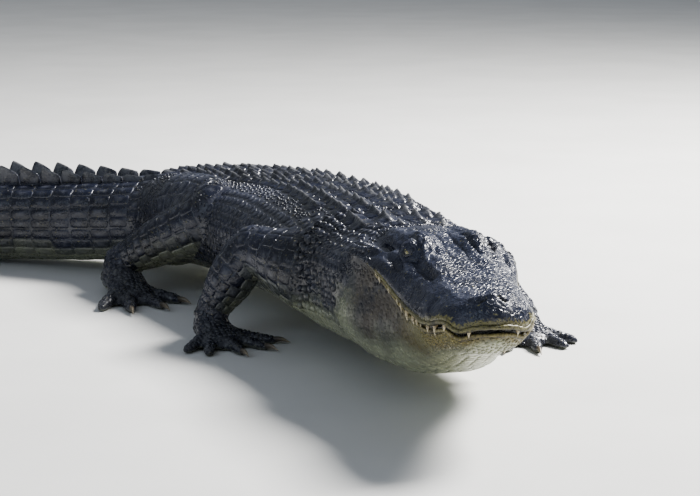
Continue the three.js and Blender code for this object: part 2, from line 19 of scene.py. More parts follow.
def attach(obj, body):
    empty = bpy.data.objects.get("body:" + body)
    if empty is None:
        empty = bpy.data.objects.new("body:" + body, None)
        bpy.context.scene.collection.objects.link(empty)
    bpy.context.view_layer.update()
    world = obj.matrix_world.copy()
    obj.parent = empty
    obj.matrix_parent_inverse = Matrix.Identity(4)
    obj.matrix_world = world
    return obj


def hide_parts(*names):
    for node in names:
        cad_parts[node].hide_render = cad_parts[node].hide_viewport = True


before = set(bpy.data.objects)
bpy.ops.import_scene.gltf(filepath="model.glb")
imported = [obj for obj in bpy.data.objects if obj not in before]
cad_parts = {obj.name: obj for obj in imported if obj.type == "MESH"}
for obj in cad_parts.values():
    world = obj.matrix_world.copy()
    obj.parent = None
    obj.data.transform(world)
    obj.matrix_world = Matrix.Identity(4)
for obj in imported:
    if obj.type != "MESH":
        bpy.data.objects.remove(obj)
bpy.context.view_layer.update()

# %% [markdown]
# ## The camera
# The picture was taken from about hip height, some 2.4 metres from the snout, with a long
# lens that looks down by eleven degrees. A long lens keeps the tail from shrinking too fast
# towards the back, so the focal length matters as much as the place.

# %% Camera
CAMERA_PLACE = (0.6686, -3.0987, 0.725)
CAMERA_TILT = math.radians(11)
camera_data = bpy.data.cameras.new("camera")
camera_data.lens = 100.2
camera_data.sensor_width = 36
camera = bpy.data.objects.new("camera", camera_data)
camera.location = CAMERA_PLACE
camera.rotation_euler = (math.pi / 2 - CAMERA_TILT, 0, 0)
bpy.context.scene.collection.objects.link(camera)
bpy.context.scene.camera = camera
print("camera at", CAMERA_PLACE, "lens", camera_data.lens)

# %% [markdown]
# ## Helpers for mesh
# Nearly all shapes here are grids of points worked out with numpy, because a hide with many
# thousands of scales is too much for modifiers or hand work. These helpers turn points and
# faces into objects, shut the ends of rings of points, join parts and measure lines.

# %% Mesh helpers
MM = 0.001
UP = np.array([0, 0, 1.0])
BACK = math.pi / 2
random = np.random.default_rng(41)


def object_from(name, points, faces, smooth=True, values=None):
    """A mesh object from points in metres and faces of one size, with float attributes."""
    faces = np.asarray(faces, np.int32)
    mesh = bpy.data.meshes.new(name)
    mesh.vertices.add(len(points))
    mesh.vertices.foreach_set("co", np.asarray(points, np.float32).ravel())
    mesh.loops.add(faces.size)
    mesh.loops.foreach_set("vertex_index", faces.ravel())
    mesh.polygons.add(len(faces))
    mesh.polygons.foreach_set("loop_start", np.arange(0, faces.size, faces.shape[1], dtype=np.int32))
    mesh.update(calc_edges=True)
    if smooth:
        mesh.polygons.foreach_set("use_smooth", np.ones(len(faces), bool))
    for key, data in (values or {}).items():
        mesh.attributes.new(key, "FLOAT", "POINT").data.foreach_set("value", np.asarray(data, np.float32))
    made = bpy.data.objects.new(name, mesh)
    bpy.context.scene.collection.objects.link(made)
    return made


def points_of(mesh):
    """The vertices of a mesh as an array, in metres."""
    found = np.empty(len(mesh.vertices) * 3, np.float32)
    mesh.vertices.foreach_get("co", found)
    return found.reshape(-1, 3).astype(float)


def grid_faces(rows, columns, closed=True):
    """Quads between rings of points. A closed ring joins its last point to its first."""
    r = np.arange(rows - 1)[:, None]
    c = np.arange(columns if closed else columns - 1)[None]
    n = (c + 1) % columns
    a, b = r * columns + c, r * columns + n
    return np.stack([a, b, b + columns, a + columns], axis=-1).reshape(-1, 4)


print("one unit of the tables, in metres:", MM)


# %% Rings of points
def halved(quads):
    """Two triangles for every quad."""
    return np.vstack([quads[:, [0, 1, 2]], quads[:, [0, 2, 3]]])


def capped_faces(rows, columns):
    """Triangles of closed rings of points, with a fan at each end round one more point."""
    c = np.arange(columns)
    n, base, size = (c + 1) % columns, (rows - 1) * columns, rows * columns
    start_fan = np.stack([n, c, np.full(columns, size)], 1)
    end_fan = np.stack([base + c, base + n, np.full(columns, size + 1)], 1)
    return np.vstack([halved(grid_faces(rows, columns)), start_fan, end_fan])


def capped(grid):
    """Points and triangles of a grid of closed rings, with both ends shut."""
    points = np.vstack([grid.reshape(-1, 3), grid[0].mean(0), grid[-1].mean(0)])
    return points, capped_faces(*grid.shape[:2])


def joined(parts):
    """Points and faces of many parts as one."""
    starts = np.cumsum([0] + [len(points) for points, _ in parts])
    faces = [faces + start for (_, faces), start in zip(parts, starts)]
    return np.vstack([points for points, _ in parts]), np.vstack(faces)


print("triangles of a tube of three rings of eight:", len(capped_faces(3, 8)))


# %% Lines and curves
def full_turn(count):
    """Angles evenly spaced round a circle."""
    return np.linspace(0, 2 * math.pi, count, endpoint=False)


def distances(line):
    """How far each point of a line lies from its start, walked along it."""
    return np.concatenate([[0], np.cumsum(np.linalg.norm(np.diff(line, axis=0), axis=1))])


def even_steps(line, count):
    """The same line cut into equal steps."""
    walk = distances(line)
    even = np.linspace(0, walk[-1], count)
    return np.stack([np.interp(even, walk, line[:, k]) for k in range(3)], 1)


def smooth_curve(table):
    """A smooth curve through the rows of a table, without overshoot."""
    rows = np.asarray(table, float)
    x, y = rows[:, 0], rows[:, 1:]
    d = np.diff(y, axis=0) / np.diff(x)[:, None]
    slope = np.zeros_like(y)
    both = d[:-1] * d[1:] > 0
    slope[1:-1] = np.where(both, 2 * d[:-1] * d[1:] / np.where(both, d[:-1] + d[1:], 1), 0)

    def read(at):
        at = np.clip(np.asarray(at, float), x[0], x[-1])
        i = np.clip(np.searchsorted(x, at, side="right") - 1, 0, len(x) - 2)
        step = (x[i + 1] - x[i])[..., None]
        t = (at - x[i])[..., None] / step
        rise = y[i + 1] - y[i]
        first, second = slope[i] * step, slope[i + 1] * step
        curve = y[i] + t * (first + t * (3 * rise - 2 * first - second + t * (first + second - 2 * rise)))
        return np.moveaxis(curve, -1, 0)

    return read


def bump(value, centre, width):
    """A smooth hill, one high at its centre."""
    return np.exp(-(((value - centre) / width) ** 2))


def ease(value, start, end):
    """A soft step from 0 at the start to 1 at the end."""
    t = np.clip((np.asarray(value, float) - start) / (end - start), 0, 1)
    return t * t * (3 - 2 * t)


def power(value, exponent):
    """A power that keeps the sign."""
    return np.sign(value) * np.abs(value) ** exponent


def unit(vectors):
    """The same directions with a length of one."""
    return vectors / np.maximum(np.linalg.norm(vectors, axis=-1, keepdims=True), 1e-9)


print("a soft step at a quarter of its way:", float(ease(0.25, 0, 1)))

# %% [markdown]
# ## The body as a curve with sections
# A trunk and tail could be sculpted, but scales have to run in rows along them, so the body is
# a surface with two numbers: how far along the spine, and the angle around it. The same table
# as in the solids gives width, height and squareness at each station, in millimetres.

# %% Body sizes
HEAD, NECK, TRUNK, TAIL = 390, 200, 700, 1460
MOUTH_HEIGHT = 170
SHOULDER, HIP = NECK, NECK + TRUNK
TAIL_TIP = HIP + TAIL
NAPE = 0.1 * HEAD
ROW, ROWS = 41, 18
FIRST_ROW = SHOULDER + 3
FIRST_WHORL = FIRST_ROW + ROWS * ROW
WHORL, WHORLS = 43, 33
SKULL_BACK = np.array([787.62, -385.68, 0])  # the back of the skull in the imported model

body_sizes = smooth_curve(
    [
        [0, -81.2, 0, 150, 124, 74, 112, 2.2, 3.1],
        [0.2 * NECK, -80.8, -15, 150, 125, 72, 112, 2.2, 3.1],
        [0.6 * NECK, -78, -26, 148, 128, 72, 112, 2.1, 3.1],
        [SHOULDER, -76, -33, 146, 136, 76, 112, 2.1, 3.1],
        [SHOULDER + 0.2 * TRUNK, -72.5, -36, 142, 149, 80, 106, 2.2, 3.0],
        [SHOULDER + 0.5 * TRUNK, -60, -32, 136, 163, 79, 100, 2.4, 2.8],
        [SHOULDER + 0.8 * TRUNK, -42, -18, 128, 150, 74, 92, 2.5, 2.7],
        [HIP, -28, -6, 120, 120, 70, 88, 2.4, 2.5],
        [HIP + 0.07 * TAIL, -21, 0, 109, 98, 63, 85, 2.6, 2.3],
        [HIP + 0.17 * TAIL, -17, 0, 99, 82, 61, 87, 3.0, 2.3],
        [HIP + 0.28 * TAIL, -10, 0, 90, 66, 59, 86, 3.0, 2.3],
        [HIP + 0.42 * TAIL, 8, 0, 66, 50, 50, 68, 2.8, 2.3],
        [HIP + 0.6 * TAIL, 20, 0, 50, 34, 42, 53, 2.5, 2.3],
        [HIP + 0.78 * TAIL, 18, 0, 36, 22, 30, 39, 2.3, 2.3],
        [HIP + 0.93 * TAIL, 5, 0, 22, 11, 18, 25, 2.2, 2.2],
        [TAIL_TIP, -5, 0, 9, 3, 5, 10, 2.0, 2.0],
    ]
)

STRIDE = 5
strides = np.arange(0, TAIL_TIP, STRIDE) + STRIDE / 2
ways = np.radians(body_sizes(strides)[0])
walked = np.vstack([[0, 0], np.cumsum(-STRIDE * np.stack([np.cos(ways), np.sin(ways)], 1), axis=0)])
walked += SKULL_BACK[:2]
print("spine walked:", len(walked), "points, tail tip at", walked[-1].round())

# %% [markdown]
# ## Points on the body
# The spine is walked in short steps on the ground plan. At each place it has its own axes:
# ahead, left and up. A super-ellipse gives the section, rounder or squarer as the table says.


# %% Body surface
def spine(at):
    """Origin, ahead and left on the spine, and the sizes there, for an array of distances."""
    faces, lean, middle, *sizes = body_sizes(at)
    way = np.radians(faces)
    ahead = np.stack([np.cos(way), np.sin(way), 0 * way], -1)
    left = np.stack([-np.sin(way), np.cos(way), 0 * way], -1)
    share = np.clip(np.asarray(at, float) / STRIDE, 0, len(walked) - 1)
    steps = np.arange(len(walked))
    plan = np.stack([np.interp(share, steps, walked[:, k]) for k in range(2)] + [middle], -1)
    return plan + left * lean[..., None], ahead, left, sizes


def body_point(at, angle):
    """Points on the skin: angle 0 is the left side, a quarter turn the back."""
    origin, _, left, (wide, rise, drop, back, belly) = spine(at)
    c, s = np.cos(angle), np.sin(angle)
    square = np.where(s > 0, back, belly)
    reach = np.where(s > 0, rise, drop)
    found = origin + left * (wide * power(c, 2 / square))[..., None]
    found[..., 2] += reach * power(s, 2 / square)
    return found


print("back over the shoulders:", body_point(np.array(SHOULDER), np.array(BACK))[2], "mm high")

# %% [markdown]
# ## The head
# The skull is broad and flat with a round snout. It is also a surface of two numbers, in head
# lengths, and the raised orbits, the ridge of the skull table and the swelling of the nose are
# smooth bumps on its crown. The lower jaw and throat hang under the same line of the lips.

# %% Head sizes and surface
head_sizes = smooth_curve(
    [
        [-0.1, 0.272, 0.14, 0.335, 0.042],
        [0.0, 0.276, 0.156, 0.34, 0.052],
        [0.12, 0.268, 0.16, 0.34, 0.058],
        [0.25, 0.246, 0.156, 0.33, 0.034],
        [0.4, 0.213, 0.13, 0.282, -0.016],
        [0.55, 0.19, 0.108, 0.222, -0.04],
        [0.7, 0.182, 0.096, 0.157, -0.04],
        [0.8, 0.168, 0.088, 0.125, -0.027],
        [0.9, 0.151, 0.084, 0.1, -0.002],
        [0.95, 0.143, 0.082, 0.088, -0.02],
        [1.0, 0.136, 0.078, 0.08, 0.0],
    ]
)
BLUNT_FROM = 0.84
EYE_X, EYE_Y, EYE_Z, EYE_BALL = 0.3, 0.122, 0.118, 0.04
JAW_INSET = 0.07
NAPE_BEND = 0.038
head_origin, head_ahead, head_left, _ = spine(np.array(0.0))
head_origin = np.array([head_origin[0], head_origin[1], MOUTH_HEIGHT])


def nape_shift(x):
    """How far the rear of the head bends aside to meet the neck."""
    return NAPE_BEND * (1 - ease(x, -0.1, 0.36))


def head_place(x, y, z):
    """Points in millimetres from head lengths ahead, left and up."""
    x, y, z = np.broadcast_arrays(x, y, z)
    return head_origin + HEAD * (
        x[..., None] * head_ahead + (y - nape_shift(x))[..., None] * head_left + z[..., None] * UP
    )


def head_coordinates(points):
    """The way back: head lengths ahead, left and up from points in millimetres."""
    from_back = (points - head_origin) / HEAD
    x = from_back @ head_ahead
    return x, from_back @ head_left + nape_shift(x), from_back[..., 2]


def head_station(x):
    wide, crown, throat, lip = head_sizes(x)
    nose = np.maximum(np.asarray(x, float) - BLUNT_FROM, 0) / (1 - BLUNT_FROM)
    wide = wide * np.sqrt(np.maximum(1 - nose**2.3, 0))
    crown = lip + (crown - lip) * (1 - 0.55 * nose**5)
    return wide, crown, throat * (1 - 0.45 * nose**4), lip


def head_forms(x, side):
    """Orbits, hollows, the rim of the skull table and the nose, over distance from the midline."""
    table = ease(x, -0.1, -0.04) * (1 - ease(x, 0.16, 0.24))
    return (
        0.036 * bump(x, EYE_X - 0.01, 0.085) * bump(side, 0.094, 0.038)
        - 0.016 * bump(x, EYE_X, 0.09) * bump(side, 0, 0.04)
        - 0.03 * bump(x, EYE_X, 0.11) * bump(side, 0.19, 0.032)
        + 0.014 * table * bump(side, 0.125, 0.024)
        - 0.03 * table * bump(side, 0.185, 0.03)
        + 0.012 * bump(x, 0.5, 0.13) * bump(side, 0.08, 0.03)
        + 0.024 * bump(x, 0.945, 0.045) * bump(side, 0, 0.062)
        - 0.01 * bump(x, 0.84, 0.05) * bump(side, 0, 0.07)
        + 0.01 * bump(x, 0.7, 0.06) * bump(side, 0.15, 0.04)
    )


def crown_point(x, angle):
    """Upper side of the head: angle 0 is the left lip, a quarter turn the crown."""
    wide, crown, _, lip = head_station(x)
    boxy = 1.75 + 0.75 * ease(x, 0.05, 0.5)
    c, s = np.cos(angle), np.sin(angle)
    y = wide * power(c, 2 / boxy) * (1 + 0.03 * bump(s, 0.16, 0.14))
    z = lip + (crown - lip) * np.abs(s) ** (2 / boxy)
    return head_place(x, y, z + head_forms(x, np.abs(y)) * ease(s, 0.15, 0.7))


def throat_point(x, angle):
    """Lower jaw and throat: angle 0 is the left edge, minus a quarter turn the throat."""
    wide, _, throat, lip = head_station(x)
    inset = JAW_INSET * ease(x, 0.0, 0.35)
    c, s = np.cos(angle), np.sin(angle)
    rear = 1 - ease(x, 0.1, 0.65)
    full = 2.2 + 0.8 * rear
    jowl = 1 + 0.2 * rear * ease(-s, 0, 0.45)
    y = wide * (1 - inset) * jowl * power(c, 2 / full)
    return head_place(x, y, lip - (throat + lip) * np.abs(s) ** (2 / full))


snout_tip = head_place(1.0, 0.0, 0.0)
print("snout tip in mm:", snout_tip.round(1))

# %% [markdown]
# ## Limbs
# Each limb is a tube along a bent line, with a girth that swells at the muscle and narrows at
# the wrist. Axes are carried along the line from ring to ring, so the skin does not twist.


# %% Tubes
def bent_line(points, count):
    """A smooth line through a few points, cut into equal steps."""
    points = np.asarray(points, float)
    ends = [2 * points[0] - points[1], *points, 2 * points[-1] - points[-2]]
    line = []
    for k in range(len(points) - 1):
        a, b, c, d = ends[k : k + 4]
        for t in np.linspace(0, 1, 40, endpoint=False):
            square, cube = (2 * a - 5 * b + 4 * c - d) * t**2, (3 * b - a - 3 * c + d) * t**3
            line.append(0.5 * (2 * b + (c - a) * t + square + cube))
    return even_steps(np.array([*line, points[-1]]), count), distances(points)[-1]


class Tube:
    """A limb's surface: along runs from 0 at the root to 1 at the end, angle around it."""

    def __init__(self, path, girths, first_side):
        self.line, self.length = bent_line(path, 161)
        tangents = unit(np.gradient(self.line, axis=0))
        side = first_side - (first_side @ tangents[0]) * tangents[0]
        sides = []
        for tangent in tangents:
            side = unit(side - (side @ tangent) * tangent)
            sides.append(side)
        self.tangents, self.sides = tangents, np.array(sides)
        self.others = np.cross(tangents, self.sides)
        self.girth = smooth_curve(girths)

    def __call__(self, along, angle):
        broad, deep = self.girth(along)
        radius_start, radius_end = self.girth(0.0)[0] / self.length, self.girth(1.0)[0] / self.length
        over = np.where(along > 1, (along - 1) / radius_end, np.where(along < 0, -along / radius_start, 0))
        cap = np.sqrt(np.clip(1 - over**2, 0.0004, 1))
        beyond = np.where(along > 1, along - 1, np.minimum(along, 0)) * self.length
        return (
            self.read(self.line, along)
            + self.read(self.tangents, along) * beyond[..., None]
            + self.read(self.sides, along) * (cap * broad * np.cos(angle))[..., None]
            + self.read(self.others, along) * (cap * deep * np.sin(angle))[..., None]
        )

    def read(self, table, along):
        """Values of a table of the line at places along it."""
        at = np.clip(along, 0, 1) * (len(table) - 1)
        return np.stack([np.interp(at, np.arange(len(table)), table[:, k]) for k in range(3)], -1)

    def reach(self):
        """The along numbers of its round ends."""
        return -self.girth(0.0)[0] / self.length, 1 + self.girth(1.0)[0] / self.length


def way_to(degrees):
    return np.array([math.cos(math.radians(degrees)), math.sin(math.radians(degrees)), 0])


# %% [markdown]
# ## Where the limbs stand
# The roots sit beside the shoulders and hips; elbows, knees, wrists and ankles are the same
# spots as in the solids, measured in millimetres from the back of the skull.

# %% Limb plans
def beside(at, out, height):
    origin, _, left, _ = spine(np.array(float(at)))
    found = origin + out * left
    return np.array([found[0], found[1], height])


ARM = [[0, 66, 50], [0.12, 63, 50], [0.3, 51, 44], [0.5, 37, 35]]
ARM += [[0.6, 37, 33], [0.72, 37, 33], [1, 25, 22]]
LEG = [[0, 82, 64], [0.2, 76, 62], [0.38, 66, 56], [0.5, 53, 50]]
LEG += [[0.62, 47, 44], [0.72, 45, 41], [1, 28, 26]]
FAR_LEG = [[0, 80, 60], [0.2, 70, 56], [0.38, 58, 50], [0.5, 46, 44]]
FAR_LEG += [[0.62, 45, 42], [0.72, 44, 39], [1, 28, 25]]
HAND = {
    "palm": 62,
    "heel": 8,
    "thick": 24,
    "spread": 34,
    "digit": 10.5,
    "webbed": False,
    "sole": [[0, 24, 19], [0.45, 31, 17], [1, 30, 12]],
    "wrist": [[0, 26, 23], [0.5, 25, 22], [1, 27, 17]],
    "digits": [(52, 62), (24, 78), (0, 82), (-26, 72), (-52, 54)],
}
FOOT = {
    "palm": 92,
    "heel": 26,
    "thick": 28,
    "spread": 36,
    "digit": 12,
    "webbed": True,
    "sole": [[0, 26, 22], [0.4, 35, 21], [1, 33, 14]],
    "wrist": [[0, 31, 28], [0.5, 29, 26], [1, 31, 20]],
    "digits": [(34, 84), (12, 104), (-10, 108), (-32, 92)],
}
limb_plans = {
    "arm_right": (beside(SHOULDER, -88, 120), (-271, 255, 150), (-340, 268, 40), -62, ARM, HAND),
    "arm_left": (beside(SHOULDER, 88, 112), (62, 385, 112), (151, 297, 40), -82, ARM, HAND),
    "leg_right": (beside(HIP, -62, 112), (-334, 537, 155), (-521, 612, 55), -68, LEG, FOOT),
    "leg_left": (beside(HIP, 62, 108), (-271, 952, 128), (-393, 1060, 52), 10, FAR_LEG, FOOT),
}


def limb_line(root, joint, end):
    before, after = root + 0.72 * (joint - root), joint + 0.28 * (end - joint)
    return [root, before, joint + 0.03 * (root + end - 2 * joint), after, end]


for name, (root, joint, end, *rest) in limb_plans.items():
    limb_plans[name] = (root, np.array(joint) + SKULL_BACK, np.array(end) + SKULL_BACK, *rest)
limbs = {
    name: Tube(limb_line(root, joint, end), girths, UP)
    for name, (root, joint, end, _, girths, _) in limb_plans.items()
}
print("limb lengths in mm:", {name: round(limb.length) for name, limb in limbs.items()})


# %% [markdown]
# ## Hands and feet
# A paw is a flat palm, a wrist that reaches up the limb, and digits that fan out with knuckles.
# The hind toes carry webs. Claws grow on the three inner digits only, as on the real animal.


# %% Paws
def paw_parts(name, joint, end, faces, plan):
    """The tubes of a paw, and the corners of the webs between its toes."""
    side = -1 if name.endswith("right") else 1
    ahead, wrist, r = way_to(faces), end, plan["digit"]
    left = np.cross(UP, ahead)

    def ahead_of(forward, height):
        return np.array([*(wrist + forward * ahead)[:2], height])

    heel = ahead_of(-plan["heel"], 0.44 * wrist[2])
    ball = ahead_of(plan["palm"], 0.42 * plan["thick"])
    middle = ahead_of(0.3 * plan["palm"], 0.44 * wrist[2] + 0.08 * plan["thick"])
    above = joint + 0.75 * (wrist - joint)
    parts = {"palm": Tube([heel, middle, ball], plan["sole"], left)}
    parts["wrist"] = Tube([above, wrist, middle], plan["wrist"], left)
    digits, webs, before = [], [], None
    girths = [[0, r, r], [0.3, 1.02 * r, 0.98 * r], [0.42, 0.9 * r, 0.84 * r], [0.56, 0.98 * r, 0.92 * r]]
    girths += [[0.7, 0.8 * r, 0.72 * r], [0.82, 0.86 * r, 0.78 * r], [1, 0.62 * r, 0.58 * r]]
    for angle, length in plan["digits"]:
        out = way_to(faces - side * angle)
        spread = -side * math.sin(math.radians(angle)) * plan["spread"]
        start = ahead_of(0.62 * plan["palm"], 0.5 * plan["thick"]) + spread * left
        path = [start]
        for share, height in ((0.35, 0.86), (0.7, 0.68), (1, 0.52)):
            path.append(np.array([*(start + share * length * out)[:2], height * r]))
        digits.append((Tube(path, girths, np.cross(UP, out)), out, length))
        reach = start + 0.6 * length * out
        if plan["webbed"] and before is not None:
            webs.append((start, reach, before, ahead_of(0.5 * plan["palm"], 0)))
        before = reach
    return parts, digits, webs


paws = {name: paw_parts(name, *plan[1:4], plan[5]) for name, plan in limb_plans.items()}
print("digits:", {name: len(paw[1]) for name, paw in paws.items()})

# %% [markdown]
# ## One seamless hide
# Forms that run into each other could be joined by booleans, but that leaves sharp seams.
# A voxel remesh wraps them in one even skin instead. Then the skin is relaxed where limbs
# and neck join the body, so that muscle flows into muscle.


# %% Forms under the hide
def closed_form(surface, along, count):
    """Points and triangles of a surface of two numbers, with both ends shut."""
    return capped(surface(*np.meshgrid(along, full_turn(count), indexing="ij")))


def closed_tube(tube, rows, sides):
    """The same for a tube, with its round ends."""
    return closed_form(tube, np.linspace(*tube.reach(), rows), sides)


def lid_bulge(centre):
    """A ball round an eye, a little longer than it is high, as a surface of two numbers."""

    def at(a, b):
        ball = np.stack([1.12 * np.cos(a) * np.cos(b), np.cos(a) * np.sin(b), 0.96 * np.sin(a)], -1)
        return centre + (EYE_BALL + 0.011) * HEAD * ball

    return at


def head_ring(x, angle):
    """The whole head as one ring: lips at 0 and half a turn, throat below them."""
    return np.where((np.sin(angle) >= 0)[..., None], crown_point(x, angle), throat_point(x, angle))


HEAD_START, SNOUT_END = -NAPE / HEAD, 0.998
HEAD_ALONG = HEAD_START + (SNOUT_END - HEAD_START) * (1 - (1 - np.linspace(0, 1, 150)) ** 1.35)
forms = [closed_form(body_point, np.arange(10, TAIL_TIP + 0.1, 5), 120)]
forms.append(closed_form(head_ring, HEAD_ALONG, 140))
for name, limb in limbs.items():
    forms.append(closed_tube(limb, 90, 48))
    parts, digits, _ = paws[name]
    forms += [closed_tube(tube, 34, 28) for tube in [*parts.values(), *(digit[0] for digit in digits)]]
eye_centres = {side: head_place(EYE_X, side * EYE_Y, EYE_Z) for side in (-1, 1)}
for centre in eye_centres.values():
    forms.append(closed_form(lid_bulge(centre), np.linspace(-1.55, 1.55, 20), 28))
print("forms under the hide:", len(forms))

# %% Wrap the forms
VOXEL = 3.6


def hull_form(corners):
    """A thin sheet between toes, from four corners."""
    sheet = bmesh.new()
    for corner in corners:
        for height in (2.5, 7.0):
            sheet.verts.new((corner[0], corner[1], height))
    bmesh.ops.convex_hull(sheet, input=sheet.verts)
    bmesh.ops.triangulate(sheet, faces=sheet.faces)
    sheet.verts.index_update()
    points = np.array([v.co for v in sheet.verts])
    faces = np.array([[v.index for v in face.verts] for face in sheet.faces])
    sheet.free()
    return points, faces


for name in limbs:
    forms += [hull_form(web) for web in paws[name][2]]
all_points, all_faces = joined(forms)
wrapped = object_from("wrapped", all_points * MM, all_faces)
remesh = wrapped.modifiers.new("remesh", "REMESH")
remesh.mode = "VOXEL"
remesh.voxel_size = VOXEL * MM
depsgraph = bpy.context.evaluated_depsgraph_get()
skin_mesh = bpy.data.meshes.new_from_object(wrapped.evaluated_get(depsgraph))
bpy.data.objects.remove(wrapped)
print("wrapped skin:", len(skin_mesh.vertices), "points")

# %% [markdown]
# ## Relax the joins
# Every skin point looks up which form it lies on and where on it: part, along and around.
# The same lookup later tells the finish where the belly, the lips or the back is.

# %% Where each point lies
ON_BODY, ON_HEAD, FIRST_LIMB, FIRST_PAW = 0, 1, 2, 6
samples = []


def add_samples(part, surface, along, around):
    """Keeps points of a surface, each with its part and its two numbers."""
    a, b = np.meshgrid(along, around, indexing="ij")
    spots = surface(a, b).reshape(-1, 3)
    samples.append(np.column_stack([spots, np.full(a.size, part), a.ravel(), b.ravel()]))


turn = np.linspace(-math.pi, math.pi, 60, endpoint=False)
add_samples(ON_BODY, body_point, np.arange(NAPE, TAIL_TIP, 8), turn)
add_samples(ON_HEAD, head_ring, np.linspace(HEAD_START, 0.995, 60), turn)
for k, (name, limb) in enumerate(limbs.items()):
    add_samples(FIRST_LIMB + k, limb, np.linspace(0.12, 1, 44), turn[::2])
    for tube in [paws[name][0]["palm"], *(digit[0] for digit in paws[name][1])]:
        add_samples(FIRST_PAW + k, tube, np.linspace(0, 1.05, 24), turn[::4])
samples = np.vstack(samples)
lookup = KDTree(len(samples))
for k, point in enumerate(samples[:, :3]):
    lookup.insert(point, k)
lookup.balance()
print("lookup samples:", len(samples))


# %% Relax
def relax(points, edges, weight, rounds):
    """Moves points towards the middle of their neighbours, each as far as its weight says."""
    a, b = edges.T
    count = len(points)
    degree = np.maximum(np.bincount(np.r_[a, b], minlength=count), 1)
    for _ in range(rounds):
        sums = [np.bincount(a, points[b, k], count) + np.bincount(b, points[a, k], count) for k in range(3)]
        points = points + weight[:, None] * (np.stack(sums, 1) / degree[:, None] - points)
    return points


def edges_of(mesh):
    found = np.empty(len(mesh.edges) * 2, np.int32)
    mesh.edges.foreach_get("vertices", found)
    return found.reshape(-1, 2)


def near(points, centre, radius):
    """One at a place, falling to nothing at the radius."""
    return 1 - ease(np.linalg.norm(points - centre, axis=1), 0.5 * radius, radius)


LEAVES_BODY = 0.26
HIDE_FLOOR = 0.4
skin_points = points_of(skin_mesh) / MM
weight = np.zeros(len(skin_points))
for name, (_, _, end, *_) in limb_plans.items():
    both_sides = limbs[name](np.array([LEAVES_BODY, LEAVES_BODY]), np.array([0, math.pi]))
    weight = np.maximum(weight, near(skin_points, 0.5 * both_sides.sum(0), 110 if "arm" in name else 140))
    weight = np.maximum(weight, near(skin_points, end, 60))
nape_middle = spine(np.array(NAPE))[0]
x_head, _, _ = head_coordinates(skin_points)
by_nape = np.linalg.norm(skin_points[:, :2] - nape_middle[:2], axis=1) < 190
weight = np.maximum(weight, by_nape * bump(x_head, -0.07, 0.09))
skin_points = relax(skin_points, edges_of(skin_mesh), np.full(len(skin_points), 0.5), 2)
skin_points = relax(skin_points, edges_of(skin_mesh), 0.6 * weight, 16)
skin_points[:, 2] = np.maximum(skin_points[:, 2], HIDE_FLOOR)
skin_mesh.vertices.foreach_set("co", (skin_points * MM).astype(np.float32).ravel())
skin_mesh.update()
print("relaxed; lowest point in mm:", skin_points[:, 2].min().round(2))

# %% [markdown]
# ## A finer head
# The face needs smaller faces than the trunk, so the head alone is cut finer, and its points
# are pulled back onto the exact forms, which the voxels had rounded off.

# %% Cut the head finer
HEAD_HALF, HEAD_FLOOR = 0.34, 60
fine = bmesh.new()
fine.from_mesh(skin_mesh)
fine.verts.ensure_lookup_table()
x_skin, y_skin, z_skin = head_coordinates(skin_points)
is_head = (x_skin > 0.0) & (np.abs(y_skin) < HEAD_HALF) & (z_skin > -0.36)
is_head &= skin_points[:, 2] > HEAD_FLOOR
cut = [edge for edge in fine.edges if is_head[edge.verts[0].index] and is_head[edge.verts[1].index]]
bmesh.ops.subdivide_edges(fine, edges=cut, cuts=1, use_grid_fill=True)
bmesh.ops.triangulate(fine, faces=[face for face in fine.faces if len(face.verts) > 4])
fine.to_mesh(skin_mesh)
fine.free()
skin_mesh.update()
print("skin after the finer head:", len(skin_mesh.vertices), "points")

# %% Pull the head onto its forms
skin_points = points_of(skin_mesh) / MM
x_skin, y_skin, z_skin = head_coordinates(skin_points)
fine_points, fine_faces = closed_form(head_ring, np.linspace(HEAD_START, SNOUT_END, 420), 360)
exact = BVHTree.FromPolygons(fine_points.tolist(), fine_faces.tolist())
clear = skin_points[:, 2] > HEAD_FLOOR
pulled = 0
for k in np.flatnonzero((x_skin > 0.02) & clear & (np.abs(y_skin) < HEAD_HALF)):
    found, _, _, distance = exact.find_nearest(skin_points[k])
    if found is not None and distance < 5:
        share = float(ease(x_skin[k], 0.02, 0.1))
        skin_points[k] += share * (np.array(found) - skin_points[k])
        pulled += 1
weight = 0.35 * ease(x_skin, -0.02, 0.06) * (skin_points[:, 2] > HEAD_FLOOR)
skin_points = relax(skin_points, edges_of(skin_mesh), weight, 1)
print("points pulled onto the exact head:", pulled)

# %% [markdown]
# ## Eyes, ears and nostrils in the hide
# An alligator's eye looks out through a slot between two lids, its ear is a slit under a flap
# at the edge of the skull table, and its nostrils are two crescents on a raised disc. All are
# pushed into the fine head, because a flat mark would not shade. The ear comes with the
# ridges and creases of the skull, as it follows them.


# %% Noise
HASH_PRIMES = (73856093, 19349663, 83492791)


def noise(points, size, seed=0):
    """Smooth noise from -1 to 1 with lumps of about one size, for arrays of points."""
    scaled = np.asarray(points) / size + 57.0 * seed
    cell = np.floor(scaled).astype(np.int64)
    part = scaled - cell
    part = part * part * (3 - 2 * part)
    total = 0
    for corner in product((0, 1), repeat=3):
        mixed, share = 0, 1.0
        for axis, (step, prime) in enumerate(zip(corner, HASH_PRIMES)):
            mixed = mixed ^ (cell[..., axis] + step) * prime
            share = share * (part[..., axis] if step else 1 - part[..., axis])
        mixed = ((mixed ^ (mixed >> 13)) * 1274126177) & 0xFFFFFF
        total = total + share * ((mixed ^ (mixed >> 7)) & 0xFFFF) / 0xFFFF
    return 2 * total - 1


print("noise at three places:", noise(100 * np.eye(3), 48).round(2))


